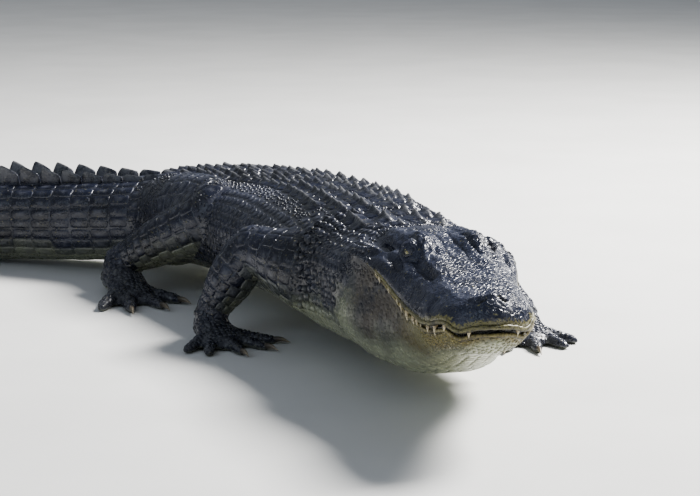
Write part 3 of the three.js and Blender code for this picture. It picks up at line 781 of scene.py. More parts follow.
# %% Point normals
def normals_of(points, mesh):
    """Point normals from the faces, without writing the mesh."""
    mesh.vertices.foreach_set("co", (points * MM).astype(np.float32).ravel())
    mesh.update()
    found = np.empty(len(points) * 3, np.float32)
    mesh.vertices.foreach_get("normal", found)
    return found.reshape(-1, 3).astype(float)


skin_normals = normals_of(skin_points, skin_mesh)
print("points that face up:", int((skin_normals[:, 2] > 0.7).sum()))

# %% Eye slots and nostrils
SLOT_LONG, SLOT_HIGH, SLOT_LIFT = 14.5, 6.5, 1.5
NOSTRIL_X, NOSTRIL_Y = 0.957, 0.034
x_skin, y_skin, z_skin = head_coordinates(skin_points)
groove = np.zeros(len(skin_points))
for side, centre in eye_centres.items():
    offset = skin_points - centre
    far = np.linalg.norm(offset, axis=1)
    ahead, out, up = offset @ head_ahead, side * (offset @ head_left), offset[:, 2]
    slot = np.sqrt((ahead / SLOT_LONG) ** 2 + ((up - SLOT_LIFT) / SLOT_HIGH) ** 2)
    open_share = (1 - ease(slot, 0.82, 1.05)) * (out > 2) * (far < 26)
    inner = centre + unit(offset) * (EYE_BALL * HEAD - 2.5)
    skin_points += open_share[:, None] * (inner - skin_points)
    groove = np.maximum(groove, open_share)
    beside_nose, on_nose = side * y_skin - NOSTRIL_Y, z_skin > 0.05
    crescent = (x_skin - NOSTRIL_X + 16 * beside_nose**2) / 0.0046
    nostril = np.exp(-(crescent**2) - (beside_nose / 0.015) ** 2) * (skin_normals[:, 2] > 0.2) * on_nose
    rim = np.exp(-(((x_skin - 0.955) / 0.026) ** 2) - ((side * y_skin - 0.03) / 0.032) ** 2) * on_nose
    skin_points += skin_normals * (1.4 * rim - 3.8 * nostril)[:, None]
    groove = np.maximum(groove, nostril)
print("points in eye slots and nostrils:", int((groove > 0.3).sum()))

# %% Line of the mouth
CHIN_BACK = 6.0
_, _, throat_skin, lip_skin = head_station(np.clip(x_skin, -0.1, 1))
from_lip = (z_skin - lip_skin) * HEAD
on_head = (x_skin > 0.0) & (np.abs(y_skin) < HEAD_HALF) & (skin_points[:, 2] > HEAD_FLOOR)
agape = ease(x_skin, 0.7, 0.84)
mouth = np.exp(-(((from_lip + 3.2 * agape) / (2.2 + 2.4 * agape)) ** 2)) * (np.abs(skin_normals[:, 2]) < 0.95)
mouth *= on_head * ease(x_skin, 0.13, 0.2)
chin_rim = ease(-from_lip, 0, 5) * (1 - ease(-from_lip, 26, 62)) * on_head
skin_points -= head_ahead * (CHIN_BACK * chin_rim * ease(x_skin, 0.88, 0.97))[:, None]
skin_points -= skin_normals * (3.4 * mouth)[:, None]
groove = np.maximum(groove, mouth)
print("points in grooves:", int((groove > 0.3).sum()))

# %% [markdown]
# ## Folds and the rugged skull
# The bone of the snout is pitted and ridged right under a thin skin. Noise of a few sizes,
# moved along the normals, gives that relief on the crown, and softer folds on neck and flanks.

# %% Ridges and creases of the skull
FACE_LINES = [
    ([(0.1, 70), (0.19, 68), (0.27, 66), (0.34, 65), (0.42, 62), (0.5, 61), (0.57, 62)], 4.6, 3.4),
    ([(0.38, 53), (0.45, 51), (0.52, 53), (0.58, 57)], 8, -6.0),
    (
        [(0.03, 14), (0.08, 20), (0.13, 27), (0.18, 38), (0.25, 45), (0.31, 46), (0.37, 42), (0.43, 34)],
        4.6,
        3.4,
    ),
    ([(0.08, 12), (0.14, 18), (0.2, 28), (0.27, 36), (0.34, 35)], 6, -2.6),
    ([(0.19, 84), (0.28, 86), (0.37, 84), (0.45, 85)], 2.6, -2.0),
    ([(0.22, 75), (0.28, 76.5), (0.34, 77), (0.42, 73)], 3.2, -3.0),
    ([(0.07, 53), (0.11, 54), (0.15, 53.5), (0.2, 52)], 4.4, 2.4),
    ([(0.085, 47.5), (0.12, 48.5), (0.16, 48), (0.185, 47.5)], 2.6, -4.2),
    ([(0.5, 66), (0.6, 62), (0.72, 60), (0.83, 58)], 6.5, 1.8),
    ([(0.87, 58), (0.91, 67), (0.94, 78), (0.95, 90)], 3.6, 1.5),
    ([(0.23, 57), (0.26, 65), (0.3, 67), (0.34, 65), (0.37, 57)], 2.6, -2.8),
    ([(0.23, 51), (0.26, 45), (0.3, 43), (0.34, 45), (0.37, 51)], 3.0, -3.2),
    ([(0.22, 60), (0.25, 68), (0.3, 71)], 2.4, -1.6),
    ([(0.68, 18), (0.72, 24), (0.76, 18)], 7, 2.4),
]


def face_relief(points, lines):
    """Height added by raised and sunk lines: each a path of (x, degrees from the lip) on the crown."""
    total = np.zeros(len(points))
    for path, width, height in lines:
        path = np.array(path)
        steps = np.linspace(0, len(path) - 1, 14 * len(path))
        x, angle = (np.interp(steps, np.arange(len(path)), path[:, k]) for k in (0, 1))
        for turned in (np.radians(angle), math.pi - np.radians(angle)):
            line = crown_point(x, turned)
            nearest = np.full(len(points), 1e9)
            for spot in line:
                nearest = np.minimum(nearest, ((points - spot) ** 2).sum(1))
            reach = np.sqrt(nearest) / width
            total += height * np.exp(-(reach**2))
    return total


upper = (x_skin > -0.06) & (z_skin > -0.05) & (np.abs(y_skin) < 0.32) & (skin_points[:, 2] > 100)
skin_normals = normals_of(skin_points, skin_mesh)
lined = np.zeros(len(skin_points))
lined[upper] = face_relief(skin_points[upper], FACE_LINES) * (1 - groove[upper])
skin_points += skin_normals * lined[:, None]
print("face lines drawn:", len(FACE_LINES), "deepest mm:", lined.min().round(1))

# %% Relief of the hide
skin_normals = normals_of(skin_points, skin_mesh)
crown_share = ease(from_lip, 6, 26) * ease(x_skin, -0.04, 0.06) * on_head
ridged = 1 - 2 * np.abs(noise(skin_points, 9, 1))
fine_ridges = 1 - 2 * np.abs(noise(skin_points, 5, 2))
rugged = 0.5 * ridged + 0.4 * fine_ridges + 0.3 * noise(skin_points, 3.2, 3)
lumps = 2.2 * noise(skin_points, 48, 4) + 1.1 * noise(skin_points, 22, 5)
dig = 1 - groove
relief = crown_share * rugged * dig + (1 - crown_share) * 0.55 * lumps * (1 - on_head)
skin_points += skin_normals * relief[:, None]
skin_points[:, 2] = np.maximum(skin_points[:, 2], HIDE_FLOOR)
skin_normals = normals_of(skin_points, skin_mesh)
print("relief added; crown points:", int((crown_share > 0.5).sum()))

# %% [markdown]
# ## Values that tell the finish where it is
# The finish needs to know belly from back, jaw from crown, and bone from soft skin. These are
# worked out once for each skin point as plain numbers, and every scale copies them from the
# skin under it, so that scales and skin share one set of markings.

# %% Places of the skin points
found = [lookup.find(point)[1] for point in skin_points]
places = samples[np.array(found), 3:6]
skin_part, skin_along, skin_around = places[:, 0].astype(int), places[:, 1], places[:, 2]
height_share = np.sin(skin_around)
on_body, on_limb = skin_part == ON_BODY, skin_part >= FIRST_LIMB
print("points of the body and the limbs:", int(on_body.sum()), int(on_limb.sum()))

# %% Markings
below = np.clip(-from_lip / np.maximum((throat_skin + lip_skin) * HEAD, 1), 0, 1)
wander = 0.16 * noise(skin_points, 60, 6) + 0.1 * noise(skin_points, 24, 7)
chest = 1 - ease(skin_along, SHOULDER + 20, SHOULDER + 200)
tail_dark = 0.55 * ease(skin_along, HIP, HIP + 500)
belly_pale = ease(-height_share + wander + 0.32 * chest, 0.42, 0.9) * (1 - tail_dark)
limb_pale = 0.55 * ease(-skin_normals[:, 2] + 0.5 * wander, 0.1, 0.9)
throat_pale = ease(below + wander, 0.46, 0.95)
behind_jaw = ease(x_skin + 0.25 * wander, -0.02, 0.2)
head_pale = throat_pale * (from_lip < 0) * behind_jaw + belly_pale * (1 - behind_jaw)
pale = np.where(on_body, belly_pale, np.where(on_limb, limb_pale, head_pale))
jaw = (from_lip < 2) * on_head * ease(x_skin, 0.3, 0.62) * (1 - 0.75 * ease(below, 0.5, 0.95))
jowl = (from_lip < 0) * on_head * (1 - ease(x_skin, 0.42, 0.66))
jowl = jowl * (1 - ease(below + wander, 0.42, 0.95)) * behind_jaw
band_top = 7 + 10 * ease(x_skin, 0.55, 0.85)
lip_band = on_head * (1 - ease(from_lip / band_top, 0.25, 1)) * (from_lip > -2) * ease(x_skin, 0.15, 0.3)
skull = crown_share * dig
markings = {"pale": pale, "jaw": jaw, "jowl": jowl, "lip": lip_band, "skull": skull, "groove": groove}
markings["paw"] = 0.8 * (skin_part >= FIRST_PAW)
print("markings, mean of each:", {key: round(float(data.mean()), 3) for key, data in markings.items()})

# %% The hide as an object
for key, data in markings.items():
    skin_mesh.attributes.new(key, "FLOAT", "POINT").data.foreach_set("value", data.astype(np.float32))
for key in ("tone", "edge"):
    skin_mesh.attributes.new(key, "FLOAT", "POINT")
skin_mesh.polygons.foreach_set("use_smooth", np.ones(len(skin_mesh.polygons), bool))
hide = bpy.data.objects.new("hide", skin_mesh)
bpy.context.scene.collection.objects.link(hide)
hide_tree = BVHTree.FromObject(hide, bpy.context.evaluated_depsgraph_get())
face_start = np.empty(len(skin_mesh.polygons), np.int32)
skin_mesh.polygons.foreach_get("loop_start", face_start)
loop_points = np.empty(len(skin_mesh.loops), np.int32)
skin_mesh.loops.foreach_get("vertex_index", loop_points)
face_point = loop_points[face_start]
print("hide faces:", len(skin_mesh.polygons))

# %% [markdown]
# ## Scales as solid pads
# Each scale is a low pad: a rounded outline, a domed top and a rim sunk in the hide. Pads are
# laid in rings round the body, and their points are dropped onto the hide, so they follow every
# fold. A keel can raise the middle of a pad. Rows of one size look dead, so sizes wander.

# %% Dropping points on the hide
PAD_RINGS = np.array([[0.0, 1.0], [0.5, 0.97], [0.82, 0.8], [0.96, 0.34], [1.03, -0.7]])
atlas = {ON_BODY: (0.0, 0.0, 1.0, 0.36), ON_HEAD: (0.0, 0.37, 0.4, 0.3)}
for k in range(len(limbs)):
    atlas[FIRST_LIMB + k] = (0.42 + 0.145 * k, 0.37, 0.14, 0.3)
    atlas[FIRST_PAW + k] = (0.25 * k, 0.7, 0.24, 0.29)
along_span = {ON_BODY: TAIL_TIP, ON_HEAD: 1.3}
coat = {}


def on_hide(points):
    """Drops points onto the hide: places in millimetres, normals, the faces and the distances."""
    dropped = [hide_tree.find_nearest(point) for point in (points * MM).tolist()]
    spots, slopes = (np.array([tuple(row[k]) for row in dropped]) for k in (0, 1))
    faces, gaps = (np.array([row[k] for row in dropped]) for k in (2, 3))
    return spots / MM, slopes, faces, gaps / MM


def uv_of(part, along, around):
    """The place on the unwrapped skin: along and around the part, each part in its own box."""
    u0, v0, du, dv = atlas[part]
    share = along / along_span.get(part, 1.2) + (0.1 if part else 0)
    return np.stack([u0 + du * np.clip(share, 0, 0.999), v0 + dv * ((around / (2 * math.pi)) % 1.0)], -1)


print("parts on the unwrapped skin:", len(atlas))


# %% Pads
def pad_faces(rings, sides):
    """Triangles of a pad: a middle point, rings of points round it, and one point below."""
    c = np.arange(sides)
    n, under = (c + 1) % sides, 1 + rings * sides
    faces = [np.stack([0 * c, 1 + c, 1 + n], 1)]
    for low in range(1, under - sides, sides):
        faces.append(np.stack([low + c, low + sides + c, low + sides + n], 1))
        faces.append(np.stack([low + c, low + sides + n, low + n], 1))
    last = under - sides
    return np.vstack([*faces, np.stack([last + n, last + c, np.full(sides, under)], 1)])


print("triangles of a pad with ten sides:", len(pad_faces(len(PAD_RINGS) - 1, 10)))


# %% Laying scales
def pad_spread(part, surface, places, square, sides):
    """Numbers on the surface of each pad's points, and their millimetres from its middle."""
    along, around, half_long, half_wide = places.T[:4]
    count = len(places)
    step_a, step_b = (4.0 if part == ON_BODY else 0.01), 0.02
    stretch_a = surface(along + step_a, around) - surface(along - step_a, around)
    stretch_b = surface(along, around + step_b) - surface(along, around - step_b)
    per_a = np.linalg.norm(stretch_a, axis=1) / (2 * step_a)
    per_b = np.linalg.norm(stretch_b, axis=1) / (2 * step_b)
    phi = full_turn(sides) + math.pi / sides
    cosine, sine = power(np.cos(phi), 2 / square), power(np.sin(phi), 2 / square)
    wobble = 1 + 0.07 * random.uniform(-1, 1, (count, sides))
    shares = PAD_RINGS[1:, 0]
    local_u = half_long[:, None, None] * shares[None, :, None] * (cosine * wobble)[:, None, :]
    local_v = half_wide[:, None, None] * shares[None, :, None] * (sine * wobble)[:, None, :]
    local_u = np.concatenate([np.zeros((count, 1)), local_u.reshape(count, -1)], 1)
    local_v = np.concatenate([np.zeros((count, 1)), local_v.reshape(count, -1)], 1)
    a = along[:, None] + local_u / np.maximum(per_a, 0.2)[:, None]
    b = around[:, None] + local_v / np.maximum(per_b, 0.2)[:, None]
    return a, b, local_u, local_v


def lay_scales(piece, part, surface, places, square=3.2, sides=10, limit=7.0):
    """Adds scales to a piece. Each place: along, around, half length, half width, height, keel."""
    places = np.asarray(places, float)
    half_long, half_wide, height, keel = places.T[2:]
    a, b, local_u, local_v = pad_spread(part, surface, places, square, sides)
    raw = surface(a, b)
    spots, slopes, faces, gaps = on_hide(raw.reshape(-1, 3))
    count, size = a.shape
    keep = (gaps.reshape(count, size).max(1) < limit) & (raw[:, :, 2].min(1) > 2.5)
    shares = PAD_RINGS[1:, 0]
    ring_share = np.concatenate([[0], np.repeat(shares, sides)])
    dome = np.concatenate([[PAD_RINGS[0, 1]], np.repeat(PAD_RINGS[1:, 1], sides)])
    ridge = np.clip(1 - np.abs(local_v) / (0.5 * half_wide[:, None]), 0, 1) * (ring_share < 0.9)
    slant = 0.6 + 0.4 * local_u / half_long[:, None]
    lift = height[:, None] * dome[None] + keel[:, None] * ridge * slant
    points = spots.reshape(count, size, 3) + lift[..., None] * slopes.reshape(count, size, 3)
    under = points[:, 0] - (height + keel + 1.5)[:, None] * slopes.reshape(count, size, 3)[:, 0]
    points = np.concatenate([points, under[:, None]], 1)[keep]
    owner = face_point[faces.reshape(count, size)[:, 0]]
    unwrapped = uv_of(part, a, b)
    uv = np.concatenate([unwrapped, unwrapped[:, :1]], 1)[keep]
    box = coat.setdefault(piece, {"points": [], "faces": [], "values": [], "uv": [], "count": 0})
    kept = int(keep.sum())
    offsets = box["count"] + np.arange(kept)[:, None, None] * (size + 1)
    box["points"].append(points.reshape(-1, 3))
    box["faces"].append((pad_faces(len(shares), sides)[None] + offsets).reshape(-1, 3))
    tone = random.uniform(-1, 1, count)[keep]
    copied = [data[owner[keep]] for data in markings.values()]
    rows = [np.repeat(column[:, None], size + 1, 1) for column in (*copied, tone)]
    rows.append(np.repeat(np.concatenate([ring_share, [1.0]])[None], kept, 0))
    box["values"].append(np.stack([row.reshape(-1) for row in rows], 1))
    box["uv"].append(uv.reshape(-1, 2))
    box["count"] += kept * (size + 1)
    return kept


# %% Rows of scales
def ring_places(surface, along, start, end, pitch, skip=0.0):
    """Angles spaced evenly by real distance round a ring, and the width that each has."""
    angles = np.linspace(start, end, 61)
    walk = distances(surface(np.full(len(angles), float(along)), angles))
    length = walk[-1] - skip
    count = max(1, round(length / pitch))
    centres = skip + (np.arange(count) + 0.5) / count * length
    return np.interp(centres, walk, angles), length / count


# %% [markdown]
# ## Back plates
# The big keeled plates of the back are bone under horn. Each is a small height map: a sloping
# dome, a sharp keel that rises towards the tail, and pits beside the keel. Rows and sizes are
# those of the solids, so plates and silhouettes agree.

# %% Plate places
PLATE_BREADTH, PLATE_GAP = 45, 1.6
NAPE_PLATES = [(0.32, (20, 56), 30, 20, 7), (0.56, (25, 70), 44, 42, 15)]
NAPE_PLATES += [(0.79, (24, 66), 42, 40, 14), (0.95, (20, 52), 30, 18, 8)]


def per_turn(at, angle):
    """Millimetres on the skin for one radian of angle."""
    ends = body_point(np.array([at, at]), np.array([angle + 0.03, angle - 0.03]))
    return float(np.linalg.norm(ends[0] - ends[1])) / 0.06


def plate_row(at):
    """Centre and breadth, in millimetres from the middle of the back, of each plate of a row."""
    share = (at - SHOULDER) / TRUNK
    shrink = 1 - 0.12 * share
    pairs = 2 + ease(share, 0.02, 0.2) - ease(share, 0.75, 1)
    row, k = [], 0.5
    while k < pairs + 0.1:
        row.append((k, k * PLATE_BREADTH * (1 - 0.04 * k) * shrink, PLATE_BREADTH * (1 - 0.08 * k) * shrink))
        k += 1
    return row


def plate_places():
    """Along, angle, length, breadth and keel of every big plate on nape and trunk."""
    found = []
    for row in range(ROWS):
        at = FIRST_ROW + (row + 0.5) * ROW
        for side in (-1, 1):
            for k, reach, breadth in plate_row(at):
                angle = BACK + side * reach / per_turn(at, BACK)
                keel = 10 + 2.5 * math.sin((k + 0.3) * 1.1) + 1.2 * math.sin(row * 2.1 + k)
                found.append((at, angle, ROW - PLATE_GAP, breadth - PLATE_GAP, keel))
    for share, offsets, breadth, length, keel in NAPE_PLATES:
        for offset in offsets:
            for side in (-1, 1):
                angle = BACK + side * offset / per_turn(share * NECK, BACK)
                found.append((share * NECK, angle, length, breadth, keel))
    return np.array(found)


plates = plate_places()
print("big plates:", len(plates))

# %% Build the plates
PLATE_LONG, PLATE_ACROSS = 17, 15


def plate_faces():
    """Triangles of the top of a plate, and of the fan that closes it below."""
    top = halved(grid_faces(PLATE_LONG, PLATE_ACROSS, closed=False))[:, ::-1]
    index = np.arange(PLATE_LONG * PLATE_ACROSS).reshape(PLATE_LONG, PLATE_ACROSS)
    loop = np.concatenate([index[0, :-1], index[:-1, -1], index[-1, :0:-1], index[:0:-1, 0]])
    base = np.stack([loop, np.roll(loop, -1), np.full(len(loop), index.size)], 1)[:, ::-1]
    return np.vstack([top, base])


def build_plates():
    """One joined mesh of keeled plates, closed below."""
    u, v = np.meshgrid(np.linspace(-1, 1, PLATE_LONG), np.linspace(-1, 1, PLATE_ACROSS), indexing="ij")
    u, v = u.ravel(), v.ravel()
    border = (np.abs(u) > 0.99) | (np.abs(v) > 0.99)
    ridge = np.interp(u, [-1, -0.85, 0.1, 0.62, 0.86, 1], [0.1, 0.3, 0.72, 1.0, 0.78, 0.3])
    size, shut = len(u), plate_faces()
    edge_u, edge_v = 1 - 0.1 * np.abs(v) ** 3, 1 - 0.14 * np.abs(u) ** 3
    dome = (1 - np.abs(u) ** 6) * (1 - np.abs(v) ** 6)
    meshes, values, uvs = [], [], []
    for number, (at, angle, length, breadth, keel) in enumerate(plates):
        skew = random.uniform(-0.05, 0.05)
        along = at + 0.5 * length * (u * edge_u)
        per = per_turn(at, angle)
        around = angle + 0.5 * breadth * (v * edge_v + skew * u) / per
        spots, slopes, faces_hit, _ = on_hide(body_point(along, around))
        slopes = unit(slopes + slopes[size // 2])
        drift = 0.06 * math.sin(number * 1.7)
        off_keel = np.abs(v - drift)
        flank = np.clip(1 - off_keel, 0, 1)
        sharp = np.exp(-((off_keel / 0.16) ** 2))
        pits = noise(np.stack([along, around * per, np.full(size, number * 9.0)], 1), 4.6, 8)
        grooves = np.sin(7 * u + 3.0 * np.abs(v) + number) * 0.25 * (off_keel > 0.2)
        lift = dome * (2.2 + keel * ridge * (0.5 * flank**1.5 + 0.5 * sharp)) + dome * (0.75 * pits + grooves)
        lift = np.where(border, -2.5, lift)
        top_points = spots + slopes * lift[:, None]
        under = (spots[size // 2] - 5 * slopes[size // 2])[None]
        meshes.append((np.vstack([top_points, under]), shut))
        owner = face_point[faces_hit[size // 2]]
        # Keel tops: worn, and also lighter as a painted highlight in the finish.
        wear_and_highlight = np.clip(sharp * ridge * 1.1, 0, 1)
        columns = [np.full(size + 1, data[owner]) for data in markings.values()]
        columns.append(np.full(size + 1, random.uniform(-1, 1)))
        columns.append(np.append(np.maximum(np.abs(u), np.abs(v)), 1.0))
        columns.append(np.append(wear_and_highlight, 0.0))
        values.append(np.stack(columns, 1))
        unwrapped = uv_of(ON_BODY, along, around)
        uvs.append(np.vstack([unwrapped, unwrapped[:1]]))
    return *joined(meshes), np.vstack(values), np.vstack(uvs)


VALUE_NAMES = [*markings, "tone", "edge"]
PIECE_FLOOR = 0.2


def finished_piece(name, points, faces, values, uv, names):
    """A coat piece: mesh, values for the finish, and its unwrap, none of it under the floor."""
    points = np.column_stack([points[:, :2], np.maximum(points[:, 2], PIECE_FLOOR)])
    made = object_from(name, points * MM, faces, values={key: values[:, k] for k, key in enumerate(names)})
    layer = made.data.uv_layers.new(name="OFBake")
    loops = np.empty(len(made.data.loops), np.int32)
    made.data.loops.foreach_get("vertex_index", loops)
    layer.data.foreach_set("uv", uv[loops].astype(np.float32).ravel())
    return made


back_plates = finished_piece("back_plates", *build_plates(), [*VALUE_NAMES, "wear_and_highlight"])
print("back plate triangles:", len(back_plates.data.polygons))

# %% [markdown]
# ## Crests of the tail
# Two rows of upright blades run from the hips to the middle of the tail and join there to
# one row. Each blade is a thin leaf that leans out and rises towards the tail tip.

# %% Crest blades
CREST_MERGES, CREST_LEAN = 16, 0.25


def blade_rings(at, lean, apart, length, height, thick):
    """Rings of one blade, from its front edge to its rear edge."""
    u = np.linspace(-0.5, 0.5, 17)
    phi = full_turn(14)
    origin, _, left, (wide, rise, *_) = spine(at + u * length)
    outline = [-0.5, -0.4, -0.1, 0.16, 0.34, 0.41, 0.5], [0.38, 0.52, 0.76, 0.92, 1.0, 0.8, 0.4]
    top = np.interp(u, *outline) * height
    root = -0.22 * rise
    share = 0.5 + 0.5 * np.sin(phi)
    z = root[:, None] + (top - root)[:, None] * share[None]
    taper = 1 - 0.86 * np.clip(z / height, 0, 1) ** 0.8
    end = np.sqrt(np.clip(1.02 - (2 * u) ** 4, 0.05, 1))[:, None]
    side = thick * taper * end * np.cos(phi)[None]
    ribs = 0.35 * np.sin(z * 1.3 + 4 * u[:, None])
    across = wide[:, None] * apart + side * (1 + 0.12 * ribs) + lean * np.maximum(z, 0)
    grid = origin[:, None] + left[:, None] * across[..., None]
    grid[..., 2] += rise[:, None] + z
    return grid, np.clip(z / height, 0, 1)


def crest_apart(share):
    """How far each of the two rows stands from the middle, in half widths of the tail."""
    return 0.34 - 0.17 * float(ease(share, 0.2, 0.5))


def build_crests():
    """One joined mesh of blades: points, faces, values and unwrap."""
    meshes, values, uvs = [], [], []
    length = WHORL - PLATE_GAP
    for k in range(WHORLS):
        at = FIRST_WHORL + (k + 0.5) * WHORL
        share = (at - HIP) / TAIL
        if k >= CREST_MERGES:
            height, thick = 34 * (1 - 0.75 * float(ease(share, 0.6, 1))), 6 - 4.4 * float(ease(share, 0.5, 1))
            sides = [0]
        else:
            height, thick = 6 + 32 * float(ease(share, 0, 0.27)), 6
            sides = [-1, 1]
        for side in sides:
            tall = height * random.uniform(0.92, 1.04)
            grid, raised = blade_rings(at, side * CREST_LEAN, side * crest_apart(share), length, tall, thick)
            rows, columns = grid.shape[:2]
            meshes.append(capped(grid))
            body = np.zeros((raised.size + 2, len(VALUE_NAMES) + 1))
            body[:, len(markings)] = random.uniform(-1, 1)
            # The upper part of each blade is marked for wear and a painted highlight.
            body[:-2, -1] = (raised**2).ravel()
            values.append(body)
            along = at + np.repeat(np.linspace(-0.5, 0.5, rows), columns) * length
            around = BACK + 0.25 * side + 0.1 * np.tile(np.linspace(-1, 1, columns), rows)
            unwrapped = uv_of(ON_BODY, along, around)
            uvs.append(np.vstack([unwrapped, unwrapped[:1], unwrapped[-1:]]))
    return *joined(meshes), np.vstack(values), np.vstack(uvs)


tail_crests = finished_piece("tail_crests", *build_crests(), [*VALUE_NAMES, "wear_and_highlight"])
print("crest triangles:", len(tail_crests.data.polygons))

# %% [markdown]
# ## Scales of the trunk
# Between the plates and the belly the flanks carry oval scales in rows, two rows to each row of
# plates. The belly has flat oblong shields in straight rows across. The sizes follow the
# real distance round the body, so scales stay the same size where the trunk is wide or narrow.

# %% Trunk scales
FLANK_END, BELLY_MIDDLE = math.radians(125), math.pi


def plate_skip(at):
    """How far round from the middle of the back the big plates reach, in millimetres."""
    _, reach, breadth = plate_row(at)[-1]
    return reach + 0.5 * breadth


flank, belly = [], []
half_row = ROW / 2
for step in range(2 * ROWS):
    at = FIRST_ROW + (step + 0.5) * half_row
    for side in (-1, 1):
        flank_end = BACK + side * FLANK_END
        angles, width = ring_places(body_point, at, BACK, flank_end, 18.5, plate_skip(at) + 1)
        shift = 0.005 * (step % 2)
        for k, angle in enumerate(angles):
            size = random.uniform(0.8, 1.06)
            row = [at + random.uniform(-2.6, 2.6)]
            row += [angle + side * (shift + random.uniform(-0.012, 0.012))]
            row += [(0.5 * half_row - 0.5) * size, (0.5 * width - 0.5) * random.uniform(0.85, 1.05)]
            row += [1.2 * size * random.uniform(0.8, 1.2), max(0, 1.7 - 0.6 * k) * random.uniform(0.3, 1.3)]
            flank.append(row)
        angles, width = ring_places(body_point, at, flank_end, BACK + side * BELLY_MIDDLE, 23)
        for angle in angles:
            belly.append([at, angle, 0.5 * half_row - 0.5, 0.5 * width - 0.5, 1.1, 0])
print("flank scales kept:", lay_scales("flank_scales", ON_BODY, body_point, flank, square=2.7, limit=12))
print("belly shields kept:", lay_scales("belly_shields", ON_BODY, body_point, belly, square=7, limit=12))

# %% [markdown]
# ## Scales of the neck
# The neck bends, so its scales are small. Bumps like blunt cones cover the sides between the
# big nape plates, and pale oblong shields run round the underside towards the throat.

# %% Neck scales
NECK_SIDE_END = math.radians(118)
NECK_RADIUS = 128
neck_sides, neck_below = [], []
for step in range(12):
    at = 30 + 15 * (step + 0.5)
    for side in (-1, 1):
        angles, width = ring_places(body_point, at, BACK, BACK + side * NECK_SIDE_END, 15)
        for angle in angles:
            off_along = (plates[:, 0] - at) / (0.5 * plates[:, 2] + 4)
            off_across = (plates[:, 1] - angle) * NECK_RADIUS / (0.5 * plates[:, 3] + 4)
            if np.hypot(off_along, off_across).min() < 1:
                continue
            size = random.uniform(0.72, 1.08)
            row = [at + random.uniform(-3, 3), angle + random.uniform(-0.025, 0.025)]
            row += [7.0 * size, 0.48 * width * size]
            raised = 1 + 1.4 * float(ease(at, 90, 170))
            neck_sides.append([*row, 1.9 * size * raised, 1.6 * raised * random.uniform(0.1, 1.2)])
for step in range(11):
    at = 34 + 16.6 * (step + 0.5)
    for side in (-1, 1):
        angles, width = ring_places(body_point, at, BACK + side * NECK_SIDE_END, BACK + side * math.pi, 17)
        for angle in angles:
            neck_below.append([at, angle, 7.8, 0.5 * width - 0.5, 1.1, 0])
print("neck scales kept:", lay_scales("neck_scales", ON_BODY, body_point, neck_sides, square=2.3))
print("neck shields kept:", lay_scales("belly_shields", ON_BODY, body_point, neck_below, square=6))

# %% [markdown]
# ## Whorls of the tail
# The tail's skin is built in rings, one to each crest blade. In each ring tall oblong scales
# stack from the crest down to the flat shields below, with a faint keel on the upper ones.

# %% Tail scales
TAIL_SIDE_END = math.radians(140)
tail_sides, tail_below = [], []
for k in range(WHORLS):
    at = FIRST_WHORL + (k + 0.5) * WHORL
    share = (at - HIP) / TAIL
    beside_crest = math.asin(crest_apart(share)) * 0.9 if k < CREST_MERGES else 0.25
    for side in (-1, 1):
        start, side_end = BACK + side * beside_crest, BACK + side * TAIL_SIDE_END
        pitch = max(8, 21 - 11 * share)
        angles, width = ring_places(body_point, at, start, side_end, pitch, 4)
        for number, angle in enumerate(angles):
            row = [at + random.uniform(-0.8, 0.8), angle, 0.5 * WHORL - 0.9, 0.5 * width - 0.55]
            keel = (2.2 if number < 4 else 1.0) * (1 - 0.6 * share)
            tail_sides.append([*row, 2.2 * (1 - 0.5 * share) * random.uniform(0.85, 1.15), keel])
        if k < CREST_MERGES:
            angles, width = ring_places(body_point, at, BACK, start, 15)
            for angle in angles:
                tail_sides.append([at, angle, 0.5 * WHORL - 1, 0.5 * width - 0.7, 1.8, 1.2])
        angles, width = ring_places(body_point, at, side_end, BACK + side * math.pi, max(8, 21 - 12 * share))
        for half in (-0.25, 0.25):
            for angle in angles:
                tail_below.append([at + half * WHORL, angle, 0.25 * WHORL - 0.6, 0.5 * width - 0.5, 1.0, 0])
print("tail scales kept:", lay_scales("tail_scales", ON_BODY, body_point, tail_sides, square=5, sides=14))
print("tail shields kept:", lay_scales("tail_shields", ON_BODY, body_point, tail_below, square=6))

# %% [markdown]
# ## Scales of the legs
# The front of thigh and upper arm has big square scales with pale seams; they shrink towards
# wrist and ankle. Palms and toes are pebbled, with short rings over the knuckles.

